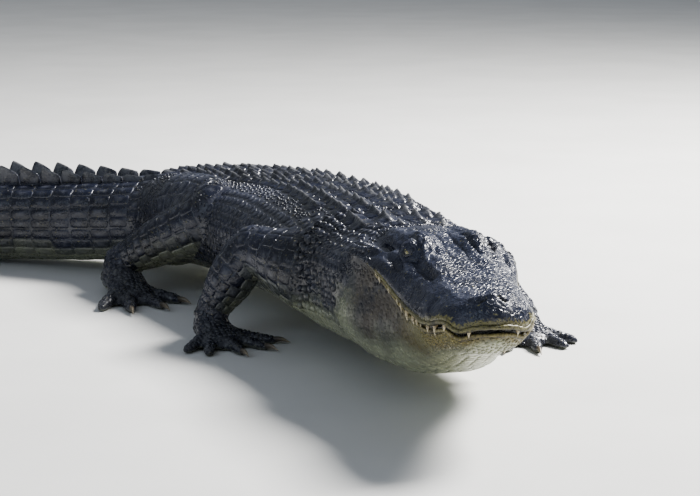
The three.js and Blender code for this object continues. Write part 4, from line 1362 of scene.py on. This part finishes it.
# %% Limb scales
for index, (name, limb) in enumerate(limbs.items()):
    limb_part, paw_part = FIRST_LIMB + index, FIRST_PAW + index
    scales = []
    big = 28 if "leg" in name else 25.5
    along = 0.2 if "leg" in name else 0.15
    while along < 0.97:
        pitch = big * (1 - 0.5 * float(ease(along, 0.5, 1)))
        angles, width = ring_places(limb, along, 0, 2 * math.pi, pitch * 1.02)
        twist = random.uniform(0, 0.5)
        for angle in angles:
            size = random.uniform(0.97, 1.03)
            row = [along, angle + twist * 0.3, (0.5 * pitch + 0.1) * size, (0.5 * width + 0.1) * size]
            scales.append([*row, 1.5 * random.uniform(0.8, 1.2), 0.7 * random.uniform(0, 1)])
        along += pitch / limb.length
    kept = lay_scales("leg_scales", limb_part, limb, scales, square=6, sides=14, limit=12)
    parts, digits, _ = paws[name]
    palm, wrist = parts["palm"], parts["wrist"]
    pebbles, bands = [], []
    for along in np.arange(-0.1, 1.05, 8.0 / palm.length):
        angles, width = ring_places(palm, along, 0, 2 * math.pi, 8.4)
        for angle in angles:
            row = [along, angle + random.uniform(-0.06, 0.06), 3.7 * random.uniform(0.85, 1.05), 0.46 * width]
            pebbles.append([*row, 1.5, 0.3])
    kept += lay_scales("paw_scales", paw_part, palm, pebbles, square=2.6, sides=8, limit=6)
    for along in np.arange(0.1, 1.0, 9.0 / wrist.length):
        angles, width = ring_places(wrist, along, 0, 2 * math.pi, 10)
        bands += [[along, angle, 4.0, 0.46 * width, 1.5, 0.3] for angle in angles]
    kept += lay_scales("paw_scales", paw_part, wrist, bands, square=3, sides=8, limit=4)
    for digit, *_ in digits:
        rings_here = []
        for along in np.arange(0.12, 1.0, 7.2 / digit.length):
            angles, width = ring_places(digit, along, 0, 2 * math.pi, 11)
            rings_here += [[along, angle, 3.3, 0.47 * width, 1.3, 0.2] for angle in angles]
        kept += lay_scales("paw_scales", paw_part, digit, rings_here, square=3.4, sides=8, limit=3.5)
    print(name, "scales kept:", kept)

# %% [markdown]
# ## Scales of the head
# The crown has no scales, only skin on bone. Behind the corner of the mouth the cheek and jowl
# are a mosaic of small polygons, and below them the throat has rows of pale oblong shields.

# %% Head scales
REAR = -0.085
JOWL_END, THROAT_START = math.radians(52), math.radians(54)
cheek, jowls, throat = [], [], []
for x in np.arange(REAR, 0.24, 9.4 / HEAD):
    for start, end in ((0.05, 0.62), (math.pi - 0.05, math.pi - 0.62)):
        reach = float(1 - ease(x, 0.1, 0.24))
        angles, width = ring_places(head_ring, x, start, start + (end - start) * max(reach, 0.2), 9.6)
        for angle in angles:
            size = random.uniform(0.85, 1.05)
            cheek.append([x, angle, 4.4 * size, 0.47 * width, 1.5, random.uniform(0, 1)])
for x in np.arange(REAR, 0.62, 10.2 / HEAD):
    for start, end in ((-math.pi + 0.06, -math.pi + JOWL_END), (-0.06, -JOWL_END)):
        angles, width = ring_places(head_ring, x, start, end, 10.6, 5 + 14 * float(ease(x, 0.3, 0.5)))
        for angle in angles:
            row = [x + random.uniform(-2, 2) / HEAD, angle + random.uniform(-0.02, 0.02)]
            row += [4.9 * random.uniform(0.75, 1.05), 0.49 * width * random.uniform(0.8, 1.02)]
            jowls.append([*row, random.uniform(0.3, 0.7), 0.1])
for x in np.arange(REAR, 0.86, 16.5 / HEAD):
    angles, width = ring_places(head_ring, x, -THROAT_START, -math.pi + THROAT_START, 18.5)
    throat += [[x, angle, 7.8, 0.5 * width - 0.5, 1.2, 0] for angle in angles]
print("cheek scales kept:", lay_scales("head_scales", ON_HEAD, head_ring, cheek, square=2.5, limit=4))
print("jowl scales kept:", lay_scales("head_scales", ON_HEAD, head_ring, jowls, square=2.8, limit=4))
print("throat shields kept:", lay_scales("throat_shields", ON_HEAD, head_ring, throat, square=6, limit=4))

# %% [markdown]
# ## Grains between the scales
# Wherever the rows leave bare hide, at the roots of the limbs and in the bends, real skin is
# packed with small grains. They are sown on the hide's own points, at random but never closer
# than their own width to a scale or to each other.

# %% Sow grains
GRAIN, CELL = 3.4, 9.0
POINTS_TRIED = 170000
bare, taken = [], {}


def keep_clear(point):
    """Notes a point in its cell of space, so that grains keep away from it."""
    taken.setdefault(tuple((point // CELL).astype(int)), []).append(point)


for box in coat.values():
    for points in box["points"]:
        for point in points[::3]:
            keep_clear(point)
for point in points_of(back_plates.data)[::5] / MM:
    keep_clear(point)
order = random.permutation(len(skin_points))
sowable = (skin_points[:, 2] > 4) & ~(on_head & (from_lip > -8)) & (groove < 0.1)
around_cells = [np.array(shift) for shift in product((-1, 0, 1), repeat=3)]
for index in order[:POINTS_TRIED]:
    if not sowable[index]:
        continue
    point = skin_points[index]
    home = (point // CELL).astype(int)
    close = [p for shift in around_cells for p in taken.get(tuple(home + shift), ())]
    if close and np.min(np.sum((np.array(close) - point) ** 2, axis=1)) < (1.75 * GRAIN) ** 2:
        continue
    keep_clear(point)
    bare.append(index)
bare = np.array(bare)
print("grains:", len(bare))


# %% Build grains
def build_grains(chosen):
    """Low six-sided bumps on hide points, closed below."""
    count, sides = len(chosen), 6
    centre, up = skin_points[chosen], unit(skin_normals[chosen])
    guide = np.where(np.abs(up[:, 2:]) > 0.8, np.array([[1.0, 0, 0]]), np.array([[0, 0, 1.0]]))
    first = unit(np.cross(up, guide))
    second = np.cross(up, first)
    radius = GRAIN * random.uniform(0.75, 1.2, count)
    phi = full_turn(sides) + random.uniform(0, 1, count)[:, None]
    ring = np.cos(phi)[..., None] * first[:, None] + np.sin(phi)[..., None] * second[:, None]
    top = centre + 1.3 * up
    middle = centre[:, None] + 0.62 * radius[:, None, None] * ring + 1.0 * up[:, None]
    rim = centre[:, None] + radius[:, None, None] * ring - 0.9 * up[:, None]
    points = np.concatenate([top[:, None], middle, rim, (centre - 1.6 * up)[:, None]], 1)
    size = points.shape[1]
    faces = (pad_faces(2, sides)[None] + np.arange(count)[:, None, None] * size).reshape(-1, 3)
    share = np.concatenate([[0], np.full(sides, 0.6), np.full(sides, 1.0), [1.0]])
    columns = [np.repeat(data[chosen][:, None], size, 1).ravel() for data in markings.values()]
    columns += [np.repeat(random.uniform(-1, 1, count)[:, None], size, 1).ravel(), np.tile(share, count)]
    places = zip(skin_part[chosen], skin_along[chosen], skin_around[chosen])
    homes = np.stack([uv_of(*place) for place in places])
    turned, still = np.stack([np.cos(phi), np.sin(phi)], -1), np.zeros((count, 1, 2))
    spread = 0.0015 * np.concatenate([still, 0.6 * turned, turned, still], 1)
    return points.reshape(-1, 3), faces, np.stack(columns, 1), (homes[:, None] + spread).reshape(-1, 2)


grains = finished_piece("skin_grains", *build_grains(bare), VALUE_NAMES)
scale_pieces = [back_plates, tail_crests, grains]
for piece, box in coat.items():
    arrays = [np.vstack(box[key]) for key in ("points", "faces", "values", "uv")]
    scale_pieces.append(finished_piece(piece, *arrays, VALUE_NAMES))
print("coat triangles:", {made.name: len(made.data.polygons) for made in scale_pieces})

# %% [markdown]
# ## Lips and lids
# The mouth reads as a line only if the lips roll over it. A slightly lumpy roll runs round the
# upper jaw and a thinner one round the lower. The same way of sweeping an oval along a line
# makes the rims of the eyelids.


# %% Rolls along a line
def roll(line, out, height, depth, sides, lumps, size, closed=False):
    """Sweeps an oval along a line of points: out is its direction outwards at each point."""
    line, out = np.asarray(line, float), unit(np.asarray(out, float))
    tangent = unit(np.gradient(line, axis=0))
    if closed:
        tangent = unit(np.roll(line, -1, 0) - np.roll(line, 1, 0))
    up = unit(np.cross(out, tangent))
    phi, count = full_turn(sides), len(line)
    swell = 1 + lumps * noise(line, size, 11)
    ends = np.ones(count)
    if not closed:
        ends = np.sqrt(np.clip(1 - np.abs(np.linspace(-1, 1, count)) ** 14, 0.02, 1))
    high = (np.broadcast_to(height, count) * swell * ends)[:, None]
    thick = (np.broadcast_to(depth, count) * swell * ends)[:, None]
    upward, outward = (high * np.sin(phi))[..., None], (thick * np.cos(phi))[..., None]
    grid = line[:, None] + upward * up[:, None] + outward * out[:, None]
    if closed:
        return grid.reshape(-1, 3), halved(grid_faces(count + 1, sides) % (count * sides))
    return capped(grid)


CORNER_X, FRONT_X = 0.16, 0.9985
ROLL_SIDES = 12


def lip_line(inset, rise):
    """Points round the rim of a jaw, from the left corner of the mouth to the right one."""
    share = np.linspace(0, 1, 150)
    x = CORNER_X + (FRONT_X - CORNER_X) * (1 - (1 - share) ** 2.2)
    wide, _, _, lip = head_station(x)
    half = np.stack([x, wide * (1 - inset), lip + rise / HEAD], 1)
    both = np.vstack([half, (half * [1, -1, 1])[::-1][1:]])
    line = even_steps(head_place(*both.T), 330)
    tangent = unit(np.gradient(line, axis=0) * [1, 1, 0])
    return line, np.cross(tangent, UP)


upper_line, upper_out = lip_line(0.01, 3.0)
lower_line, lower_out = lip_line(JAW_INSET, -8.0)
lower_line -= head_ahead * (CHIN_BACK * ease(head_coordinates(lower_line)[0], 0.88, 0.97))[:, None]
top = {"top": np.append(np.tile(np.sin(full_turn(ROLL_SIDES)), len(upper_line)), [0, 0])}
points, faces = roll(upper_line - 1.8 * upper_out, upper_out, 3.2, 2.2, ROLL_SIDES, lumps=0.3, size=6)
upper_lip = object_from("upper_lip", points * MM, faces, values=top)
points, faces = roll(lower_line - 2.4 * lower_out, lower_out, 2.8, 2.0, ROLL_SIDES, lumps=0.3, size=6)
lower_lip = object_from("lower_lip", points * MM, faces, values=top)
print("lip rolls, mm long:", round(float(distances(upper_line)[-1])))

# %% Rims of the lids
lid_parts = []
phi = full_turn(64)
ahead, up = 14.2 * np.cos(phi), SLOT_LIFT + (6.6 + 0.8 * np.sin(phi)) * np.sin(phi)
out = np.sqrt(np.maximum((EYE_BALL * HEAD + 1.6) ** 2 - ahead**2 - up**2, 4))
for side, centre in eye_centres.items():
    ring = centre + ahead[:, None] * head_ahead + (side * out)[:, None] * head_left + up[:, None] * UP
    ring = ring if side > 0 else ring[::-1]
    lid_parts.append(roll(ring, ring - centre, 1.9, 1.6, 10, lumps=0.25, size=5, closed=True))
points, faces = joined(lid_parts)
eyelids = object_from("eyelids", points * MM, faces)
print("lid rims made")

# %% [markdown]
# ## Eyes
# The eye is a clear ball with a slit pupil in a greenish gold iris. Only a part of each ball
# shows between the lids, so colours are worked out by the angle from the way it looks.


# %% Eyes
CORNEA, EYE_INSET = 0.9, 0.6


def eye_ball(name, side):
    """A ball with a bulging cornea, and how far each point lies from the gaze and the slit."""
    centre = eye_centres[side]
    gaze = unit(side * head_left + 0.3 * head_ahead + 0.12 * UP)
    across = unit(np.cross(UP, gaze))
    up = np.cross(gaze, across)
    t, p = np.meshgrid(np.linspace(0, math.pi, 49)[1:-1], full_turn(72), indexing="ij")
    ball = EYE_BALL * HEAD
    radius = ball - EYE_INSET + CORNEA * np.exp(-((t / 0.5) ** 2))
    grid = (
        (radius * np.cos(t))[..., None] * gaze
        + (radius * np.sin(t) * np.cos(p))[..., None] * across
        + (radius * np.sin(t) * np.sin(p))[..., None] * up
    )
    poles = [centre + (ball - EYE_INSET + CORNEA) * gaze, centre - (ball - EYE_INSET) * gaze]
    points = np.vstack([(centre + grid).reshape(-1, 3), poles])
    faces = capped_faces(*t.shape)[:, ::-1]
    sideways, upright = np.sin(t) * np.cos(p), np.sin(t) * np.sin(p)
    slit = np.sqrt((sideways / 0.085) ** 2 + (upright / 0.42) ** 2).ravel()
    values = {"gaze": np.append(t.ravel(), [0, math.pi]), "slit": np.append(slit, [0, 9])}
    return object_from(name, points * MM, faces, values=values)


eyes = {name: eye_ball(f"eye_ball_{name}", side) for name, side in (("left", 1), ("right", -1))}
print("eyes, mm across:", 2 * EYE_BALL * HEAD)

# %% [markdown]
# ## Claws and teeth
# Claws are curved horn cones on the three inner digits of every foot. The upper teeth hang
# outside the lower jaw; they are biggest beside the nose and at the swelling behind it.

# %% Claws
CLAWED, CLAW_LENGTH = 3, 2.6
claws = {}
for name, (_, digits, _) in paws.items():
    limb, side_name = name.split("_")
    node = ("hand" if limb == "arm" else "foot") + "_" + side_name
    r = limb_plans[name][5]["digit"]
    for number, (digit, out, length) in enumerate(digits[:CLAWED]):
        start = digit.line[0]
        cut = np.array([*(start + 0.97 * length * out)[:2], 0.5 * r])
        bend = ((-0.2, 0.6), (1.3, 0.75), (CLAW_LENGTH, 0.32))
        path = [np.array([*(cut + share * r * out)[:2], height * r]) for share, height in bend]
        girths = [[0, 0.42 * r, 0.46 * r], [0.5, 0.3 * r, 0.36 * r], [1, 0.06 * r, 0.07 * r]]
        points, faces = closed_tube(Tube(path, girths, np.cross(UP, out)), 26, 20)
        points[:, 2] = np.maximum(points[:, 2], PIECE_FLOOR)
        place = f"{node}_{number + 1}"
        along = {"along": np.linalg.norm(points - cut, axis=1) / (CLAW_LENGTH * r)}
        claws[f"claw_{place}"] = object_from(f"horn_{place}", points * MM, faces, values=along)
print("claws:", len(claws))

# %% Teeth
TEETH, TOOTH_INSET = 13, 2.2
tooth_length = smooth_curve([[0, 9], [2, 15], [4, 8], [7, 16], [9, 9], [11, 10], [TEETH - 1, 7]])
tooth_parts, tooth_tips = [], []
for side in (-1, 1):
    for i in range(TEETH):
        share = i / (TEETH - 1)
        x = 0.975 - 0.75 * share**0.92 - 0.02 * math.sin(i * 1.9) * share
        wide, _, _, lip = (float(v) for v in head_station(np.array(x)))
        before, after = (float(head_station(np.array(x + step))[0]) for step in (-0.004, 0.004))
        slope = (after - before) / 0.008
        inward = np.array([slope, -1]) / math.hypot(slope, 1) * TOOTH_INSET / HEAD
        root = head_place(x + inward[0], side * (wide + inward[1]), lip + 5 / HEAD)
        shown = float(tooth_length(i)[0]) * random.uniform(0.9, 1.1)
        outward = side * head_left
        path = [root, root - (0.5 * shown + 3) * UP + 1.4 * outward, root - (shown + 5) * UP + 1.2 * outward]
        thick = 1.5 + 0.14 * shown
        tooth = Tube(path, [[0, thick, thick], [0.5, 0.8 * thick, 0.8 * thick], [1, 0.16, 0.16]], head_ahead)
        tooth_parts.append(closed_tube(tooth, 14, 12))
        tooth_tips.append(np.clip((root[2] - tooth_parts[-1][0][:, 2]) / (shown + 5), 0, 1))
points, faces = joined(tooth_parts)
teeth = object_from("teeth", points * MM, faces, values={"along": np.concatenate(tooth_tips)})
print("teeth:", len(tooth_parts))

# %% [markdown]
# ## The finish of the hide
# Wet alligator skin is almost black with a blue sheen, worn grey on keels, cream below and
# olive on the jaws. Keel tops and scale tips are paler from wear and from a painted highlight,
# and the mouth line, nostrils and eye slots carry painted shade. One node recipe reads the
# values stored on skin and scales, so all pieces agree, and noise of three sizes breaks every
# tone up. Fine grain and pores are bump.


# %% Node helpers
class Recipe:
    """A material's nodes, with short calls to add and join them."""

    def __init__(self, name):
        self.material = bpy.data.materials.new(name)
        self.material.use_nodes = True
        self.tree = self.material.node_tree
        self.shader = self.tree.nodes["Principled BSDF"]
        self.place = self.tree.nodes.new("ShaderNodeTexCoord").outputs["Object"]

    def join(self, value, socket):
        if isinstance(value, bpy.types.NodeSocket):
            self.tree.links.new(value, socket)
        elif isinstance(value, tuple) and len(value) == 3:
            socket.default_value = (*value, 1)
        else:
            socket.default_value = value

    def value(self, name):
        node = self.tree.nodes.new("ShaderNodeAttribute")
        node.attribute_name = name
        return node.outputs["Fac"]

    def noise(self, scale, detail=4, roughness=0.55):
        node = self.tree.nodes.new("ShaderNodeTexNoise")
        node.inputs["Scale"].default_value = scale
        node.inputs["Detail"].default_value = detail
        node.inputs["Roughness"].default_value = roughness
        self.join(self.place, node.inputs["Vector"])
        return node.outputs["Fac"]

    def cells(self, scale, feature="F1"):
        node = self.tree.nodes.new("ShaderNodeTexVoronoi")
        node.feature = feature
        node.inputs["Scale"].default_value = scale
        self.join(self.place, node.inputs["Vector"])
        return node.outputs["Distance"]

    def pores(self):
        return self.ramp(self.cells(420), 0.22, 0.4)

    def ramp(self, value, low, high, start=0.0, end=1.0):
        node = self.tree.nodes.new("ShaderNodeMapRange")
        node.interpolation_type = "SMOOTHSTEP"
        for name, number in (("From Min", low), ("From Max", high), ("To Min", start), ("To Max", end)):
            node.inputs[name].default_value = number
        self.join(value, node.inputs["Value"])
        return node.outputs["Result"]

    def math(self, kind, a, b=0.0):
        node = self.tree.nodes.new("ShaderNodeMath")
        node.operation = kind
        self.join(a, node.inputs[0])
        self.join(b, node.inputs[1])
        return node.outputs[0]

    def mix(self, share, a, b, blend="MIX"):
        node = self.tree.nodes.new("ShaderNodeMix")
        node.data_type = "RGBA"
        node.blend_type = blend
        self.join(share, node.inputs["Factor"])
        colours = [socket for socket in node.inputs if socket.type == "RGBA"]
        self.join(a, colours[0])
        self.join(b, colours[1])
        return [socket for socket in node.outputs if socket.type == "RGBA"][0]

    def bump(self, height, distance, strength, below=None):
        node = self.tree.nodes.new("ShaderNodeBump")
        node.inputs["Distance"].default_value = distance
        node.inputs["Strength"].default_value = strength
        self.join(height, node.inputs["Height"])
        if below is not None:
            self.join(below, node.inputs["Normal"])
        return node.outputs["Normal"]

    def finish(self, colour, roughness, normal=None, specular=0.6):
        self.join(colour, self.shader.inputs["Base Color"])
        self.join(roughness, self.shader.inputs["Roughness"])
        self.shader.inputs["Specular IOR Level"].default_value = specular
        if normal is not None:
            self.join(normal, self.shader.inputs["Normal"])
        return self.material


# %% Hide colours
BLACK_BLUE = (0.003, 0.0042, 0.011)
SLATE = (0.008, 0.011, 0.029)
WORN_GREY = (0.048, 0.056, 0.092)
# Paler tips of scales: worn, and a painted highlight.
WORN_TIP_AND_HIGHLIGHT = (0.12, 0.125, 0.15)
SEAM_GREY = (0.15, 0.155, 0.18)
PAW_GREY = (0.085, 0.088, 0.1)
BONE_BLUE = (0.013, 0.018, 0.042)
BONE_PALE = (0.05, 0.057, 0.09)
# Paler keels: worn, and a painted highlight.
KEEL_WEAR_AND_HIGHLIGHT = (0.17, 0.17, 0.17)
CREAM_GREEN = (0.34, 0.36, 0.25)
CREAM_DULL = (0.25, 0.26, 0.19)
JAW_OCHRE = (0.215, 0.182, 0.07)
JAW_STRAW = (0.26, 0.25, 0.13)
JAW_PORE = (0.03, 0.022, 0.014)
JOWL_UMBER = (0.062, 0.05, 0.034)
JOWL_DARK = (0.016, 0.016, 0.02)
LIP_OLIVE = (0.165, 0.15, 0.062)
LIP_PORE = (0.03, 0.026, 0.016)
# Painted shade for the mouth line, nostrils and eye slots.
PAINTED_GROOVE_SHADE = (0.004, 0.004, 0.004)


def hide_recipe(name, keels=False, scales=True):
    r = Recipe(name)
    blotch, fleck = r.noise(9, 5), r.noise(60, 4)
    speck = r.noise(240, 2)
    tone = r.value("tone")
    colour = r.mix(r.ramp(blotch, 0.38, 0.66), BLACK_BLUE, SLATE)
    colour = r.mix(r.ramp(fleck, 0.5, 0.72, 0, 0.26), colour, WORN_GREY)
    if scales:
        lighter = r.ramp(tone, -1, 1, 0, 0.16)
        colour = r.mix(lighter, colour, WORN_GREY)
        edge = r.value("edge")
        seam = r.math("MULTIPLY", r.ramp(edge, 0.88, 0.97), r.ramp(blotch, 0.35, 0.6, 0.25, 0.75))
        colour = r.mix(seam, colour, SEAM_GREY)
        # Paler middles of scales: worn tips, with a painted highlight on the tops of the domes.
        tip = r.math("MULTIPLY", r.ramp(edge, 0.1, 0.6, 0.5, 0), r.ramp(fleck, 0.35, 0.6))
        colour = r.mix(tip, colour, WORN_TIP_AND_HIGHLIGHT)
    else:
        colour = r.mix(r.ramp(blotch, 0.4, 0.7, 0.06, 0.28), colour, SEAM_GREY)
    dusty = r.math("MULTIPLY", r.value("paw"), r.ramp(fleck, 0.35, 0.6))
    colour = r.mix(dusty, colour, PAW_GREY)
    skull = r.value("skull")
    bone = r.mix(r.ramp(fleck, 0.44, 0.72), BONE_BLUE, BONE_PALE)
    bone = r.mix(r.ramp(blotch, 0.5, 0.68, 0, 0.5), bone, BLACK_BLUE)
    colour = r.mix(r.math("MULTIPLY", skull, 0.9), colour, bone)
    jowl = r.mix(r.ramp(r.noise(22, 4), 0.42, 0.6), JOWL_DARK, JOWL_UMBER)
    colour = r.mix(r.math("MULTIPLY", r.value("jowl"), 0.85), colour, jowl)
    cream = r.mix(r.ramp(fleck, 0.4, 0.7), CREAM_GREEN, CREAM_DULL)
    colour = r.mix(r.value("pale"), colour, cream)
    pores = r.pores()
    ochre = r.mix(pores, JAW_PORE, JAW_OCHRE)
    ochre = r.mix(r.ramp(blotch, 0.46, 0.66, 0, 0.5), ochre, JAW_STRAW)
    colour = r.mix(r.value("jaw"), colour, ochre)
    olive = r.mix(pores, LIP_PORE, LIP_OLIVE)
    reach = r.math("ADD", r.value("lip"), r.math("MULTIPLY", speck, 1.7))
    colour = r.mix(r.ramp(reach, 1.05, 1.35), colour, olive)
    if keels:
        # Paler keel and blade tops: real wear, and a painted highlight where the back catches the light.
        worn_and_highlit = r.math("MULTIPLY", r.value("wear_and_highlight"), r.ramp(fleck, 0.3, 0.6, 0.25, 0.9))
        colour = r.mix(worn_and_highlit, colour, KEEL_WEAR_AND_HIGHLIGHT)
    colour = r.mix(r.ramp(speck, 0.3, 0.75, 0.28, 0), colour, BLACK_BLUE)
    # Painted shade: the mouth line, nostrils and eye slots are darkened to near black.
    colour = r.mix(r.ramp(r.value("groove"), 0.25, 0.8), colour, PAINTED_GROOVE_SHADE)
    rough = r.math("ADD", r.ramp(fleck, 0.3, 0.75, 0.2, 0.4), r.math("MULTIPLY", r.value("jowl"), 0.16))
    wrinkle = r.math("MULTIPLY", r.ramp(r.cells(165, "DISTANCE_TO_EDGE"), 0.0, 0.2, 1, 0), skull)
    wrinkle = r.math("MULTIPLY", wrinkle, r.ramp(blotch, 0.32, 0.62, 0.25, 1))
    soft = r.math("SUBTRACT", 1.0, r.math("MULTIPLY", skull, 0.75))
    normal = r.bump(wrinkle, 0.0015, 0.6)
    normal = r.bump(r.math("MULTIPLY", r.cells(330 if scales else 230), soft), 0.0009, 0.5, normal)
    normal = r.bump(r.math("MULTIPLY", fleck, soft), 0.0016, 0.5, normal)
    normal = r.bump(r.math("MULTIPLY", speck, soft), 0.0006, 0.4, normal)
    rough = r.math("ADD", rough, r.math("MULTIPLY", skull, 0.04))
    return r.finish(colour, rough, normal)


hide_finish = hide_recipe("hide_finish", scales=False)
scale_finish = hide_recipe("scale_finish")
plate_finish = hide_recipe("plate_finish", keels=True)
print("hide finishes made")

# %% Lips, eyes, horn and teeth
def lip_finish(name, light, dark):
    r = Recipe(name)
    pores = r.pores()
    blotch, speck = r.noise(26, 5), r.noise(240, 2)
    colour = r.mix(pores, dark, light)
    colour = r.mix(r.ramp(blotch, 0.48, 0.68, 0, 0.8), colour, dark)
    colour = r.mix(r.ramp(speck, 0.5, 0.66, 0, 0.7), colour, dark)
    # Painted shade: the lower half of each lip roll is darkened to near black.
    colour = r.mix(r.ramp(r.value("top"), -0.2, -0.9, 0, 0.85), colour, (0.012, 0.01, 0.008))
    normal = r.bump(r.cells(190), 0.0009, 0.6)
    normal = r.bump(r.noise(300), 0.0006, 0.5, normal)
    return r.finish(colour, r.ramp(blotch, 0.3, 0.7, 0.35, 0.55), normal)


def eye_finish():
    r = Recipe("eye_finish")
    streak = r.noise(900, 5)
    iris = r.mix(r.ramp(streak, 0.35, 0.65), (0.09, 0.085, 0.02), (0.34, 0.30, 0.09))
    colour = r.mix(r.ramp(r.value("gaze"), 0.62, 0.74), iris, (0.03, 0.02, 0.014))
    colour = r.mix(r.ramp(r.value("slit"), 0.9, 1.08), (0.002, 0.002, 0.002), colour)
    r.shader.inputs["Coat Weight"].default_value = 1.0
    r.shader.inputs["Coat Roughness"].default_value = 0.03
    return r.finish(colour, 0.25, r.bump(streak, 0.0002, 0.2))


def horn_finish(name, root, tip):
    r = Recipe(name)
    streak = r.noise(420, 4)
    colour = r.mix(r.ramp(r.value("along"), 0.15, 0.95), root, tip)
    colour = r.mix(r.ramp(streak, 0.45, 0.7, 0, 0.5), colour, (0.02, 0.017, 0.014))
    return r.finish(colour, r.ramp(streak, 0.3, 0.7, 0.3, 0.5), r.bump(streak, 0.0005, 0.5))


upper_finish = lip_finish("upper_lip_finish", LIP_OLIVE, (0.035, 0.031, 0.02))
lower_finish = lip_finish("lower_lip_finish", JAW_OCHRE, (0.045, 0.032, 0.016))
iris_finish = eye_finish()
claw_finish = horn_finish("claw_finish", (0.05, 0.042, 0.034), (0.26, 0.22, 0.16))
tooth_finish = horn_finish("tooth_finish", (0.36, 0.28, 0.15), (0.62, 0.56, 0.42))
print("finishes of lips, eyes, horn and teeth made")


def dress(piece, material):
    piece.data.materials.clear()
    piece.data.materials.append(material)
    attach(piece, "root")


# %% [markdown]
# ## Dress the pieces
# Each piece gets its finish and rides on the one still body.
# The hide replaces all flesh; eyes and claws replace their own solids one by one.

# %% Dress
dress(hide, hide_finish)
flesh = [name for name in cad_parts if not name.startswith(("claw_", "eye_"))]
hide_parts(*flesh)
for piece in scale_pieces:
    finish = plate_finish if piece.name in ("back_plates", "tail_crests") else scale_finish
    dress(piece, finish)
dress(upper_lip, upper_finish)
dress(lower_lip, lower_finish)
dress(eyelids, plate_finish)
dress(teeth, tooth_finish)
for side_name, eye in eyes.items():
    dress(eye, iris_finish)
    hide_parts(f"eye_{side_name}")
for node, claw in claws.items():
    dress(claw, claw_finish)
    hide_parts(node)
print("pieces dressed:", len(scale_pieces) + 7 + len(claws))

# %% [markdown]
# ## Floor and light
# The floor is plain and pale. The light is that of a studio, soft and wide: a key from behind
# on the right, where the sun stood, a weaker fill from the camera's left, and a pale sky.

# %% Stage
floor = object_from("floor", [(-9, -9, 0), (9, -9, 0), (9, 14, 0), (-9, 14, 0)], [(0, 1, 2, 3)], smooth=False)
plain = Recipe("floor_finish")
tone = plain.mix(plain.ramp(plain.noise(3, 3), 0.3, 0.7), (0.62, 0.62, 0.61), (0.66, 0.66, 0.65))
floor.data.materials.append(plain.finish(tone, 0.75, plain.bump(plain.noise(90), 0.0005, 0.2)))


def soft_light(name, place, target, size, power_watts, colour):
    data = bpy.data.lights.new(name, "AREA")
    data.shape = "SQUARE"
    data.size = size
    data.energy = power_watts
    data.color = colour
    light = bpy.data.objects.new(name, data)
    light.location = place
    light.rotation_euler = (Vector(target) - Vector(place)).to_track_quat("-Z", "Y").to_euler()
    bpy.context.scene.collection.objects.link(light)


soft_light("key", (3.2, 1.4, 3.2), (0.3, 0, 0.1), 1.5, 660, (1, 0.98, 0.95))
soft_light("fill", (-2.2, -3.6, 2.4), (0.2, 0, 0.1), 3.0, 34, (0.72, 0.84, 1))
bpy.context.scene.view_settings.look = "AgX - Medium High Contrast"
world = bpy.data.worlds.new("sky")
bpy.context.scene.world = world
world.use_nodes = True
world.node_tree.nodes["Background"].inputs["Color"].default_value = (0.86, 0.92, 1, 1)
world.node_tree.nodes["Background"].inputs["Strength"].default_value = 0.32
print("stage set")
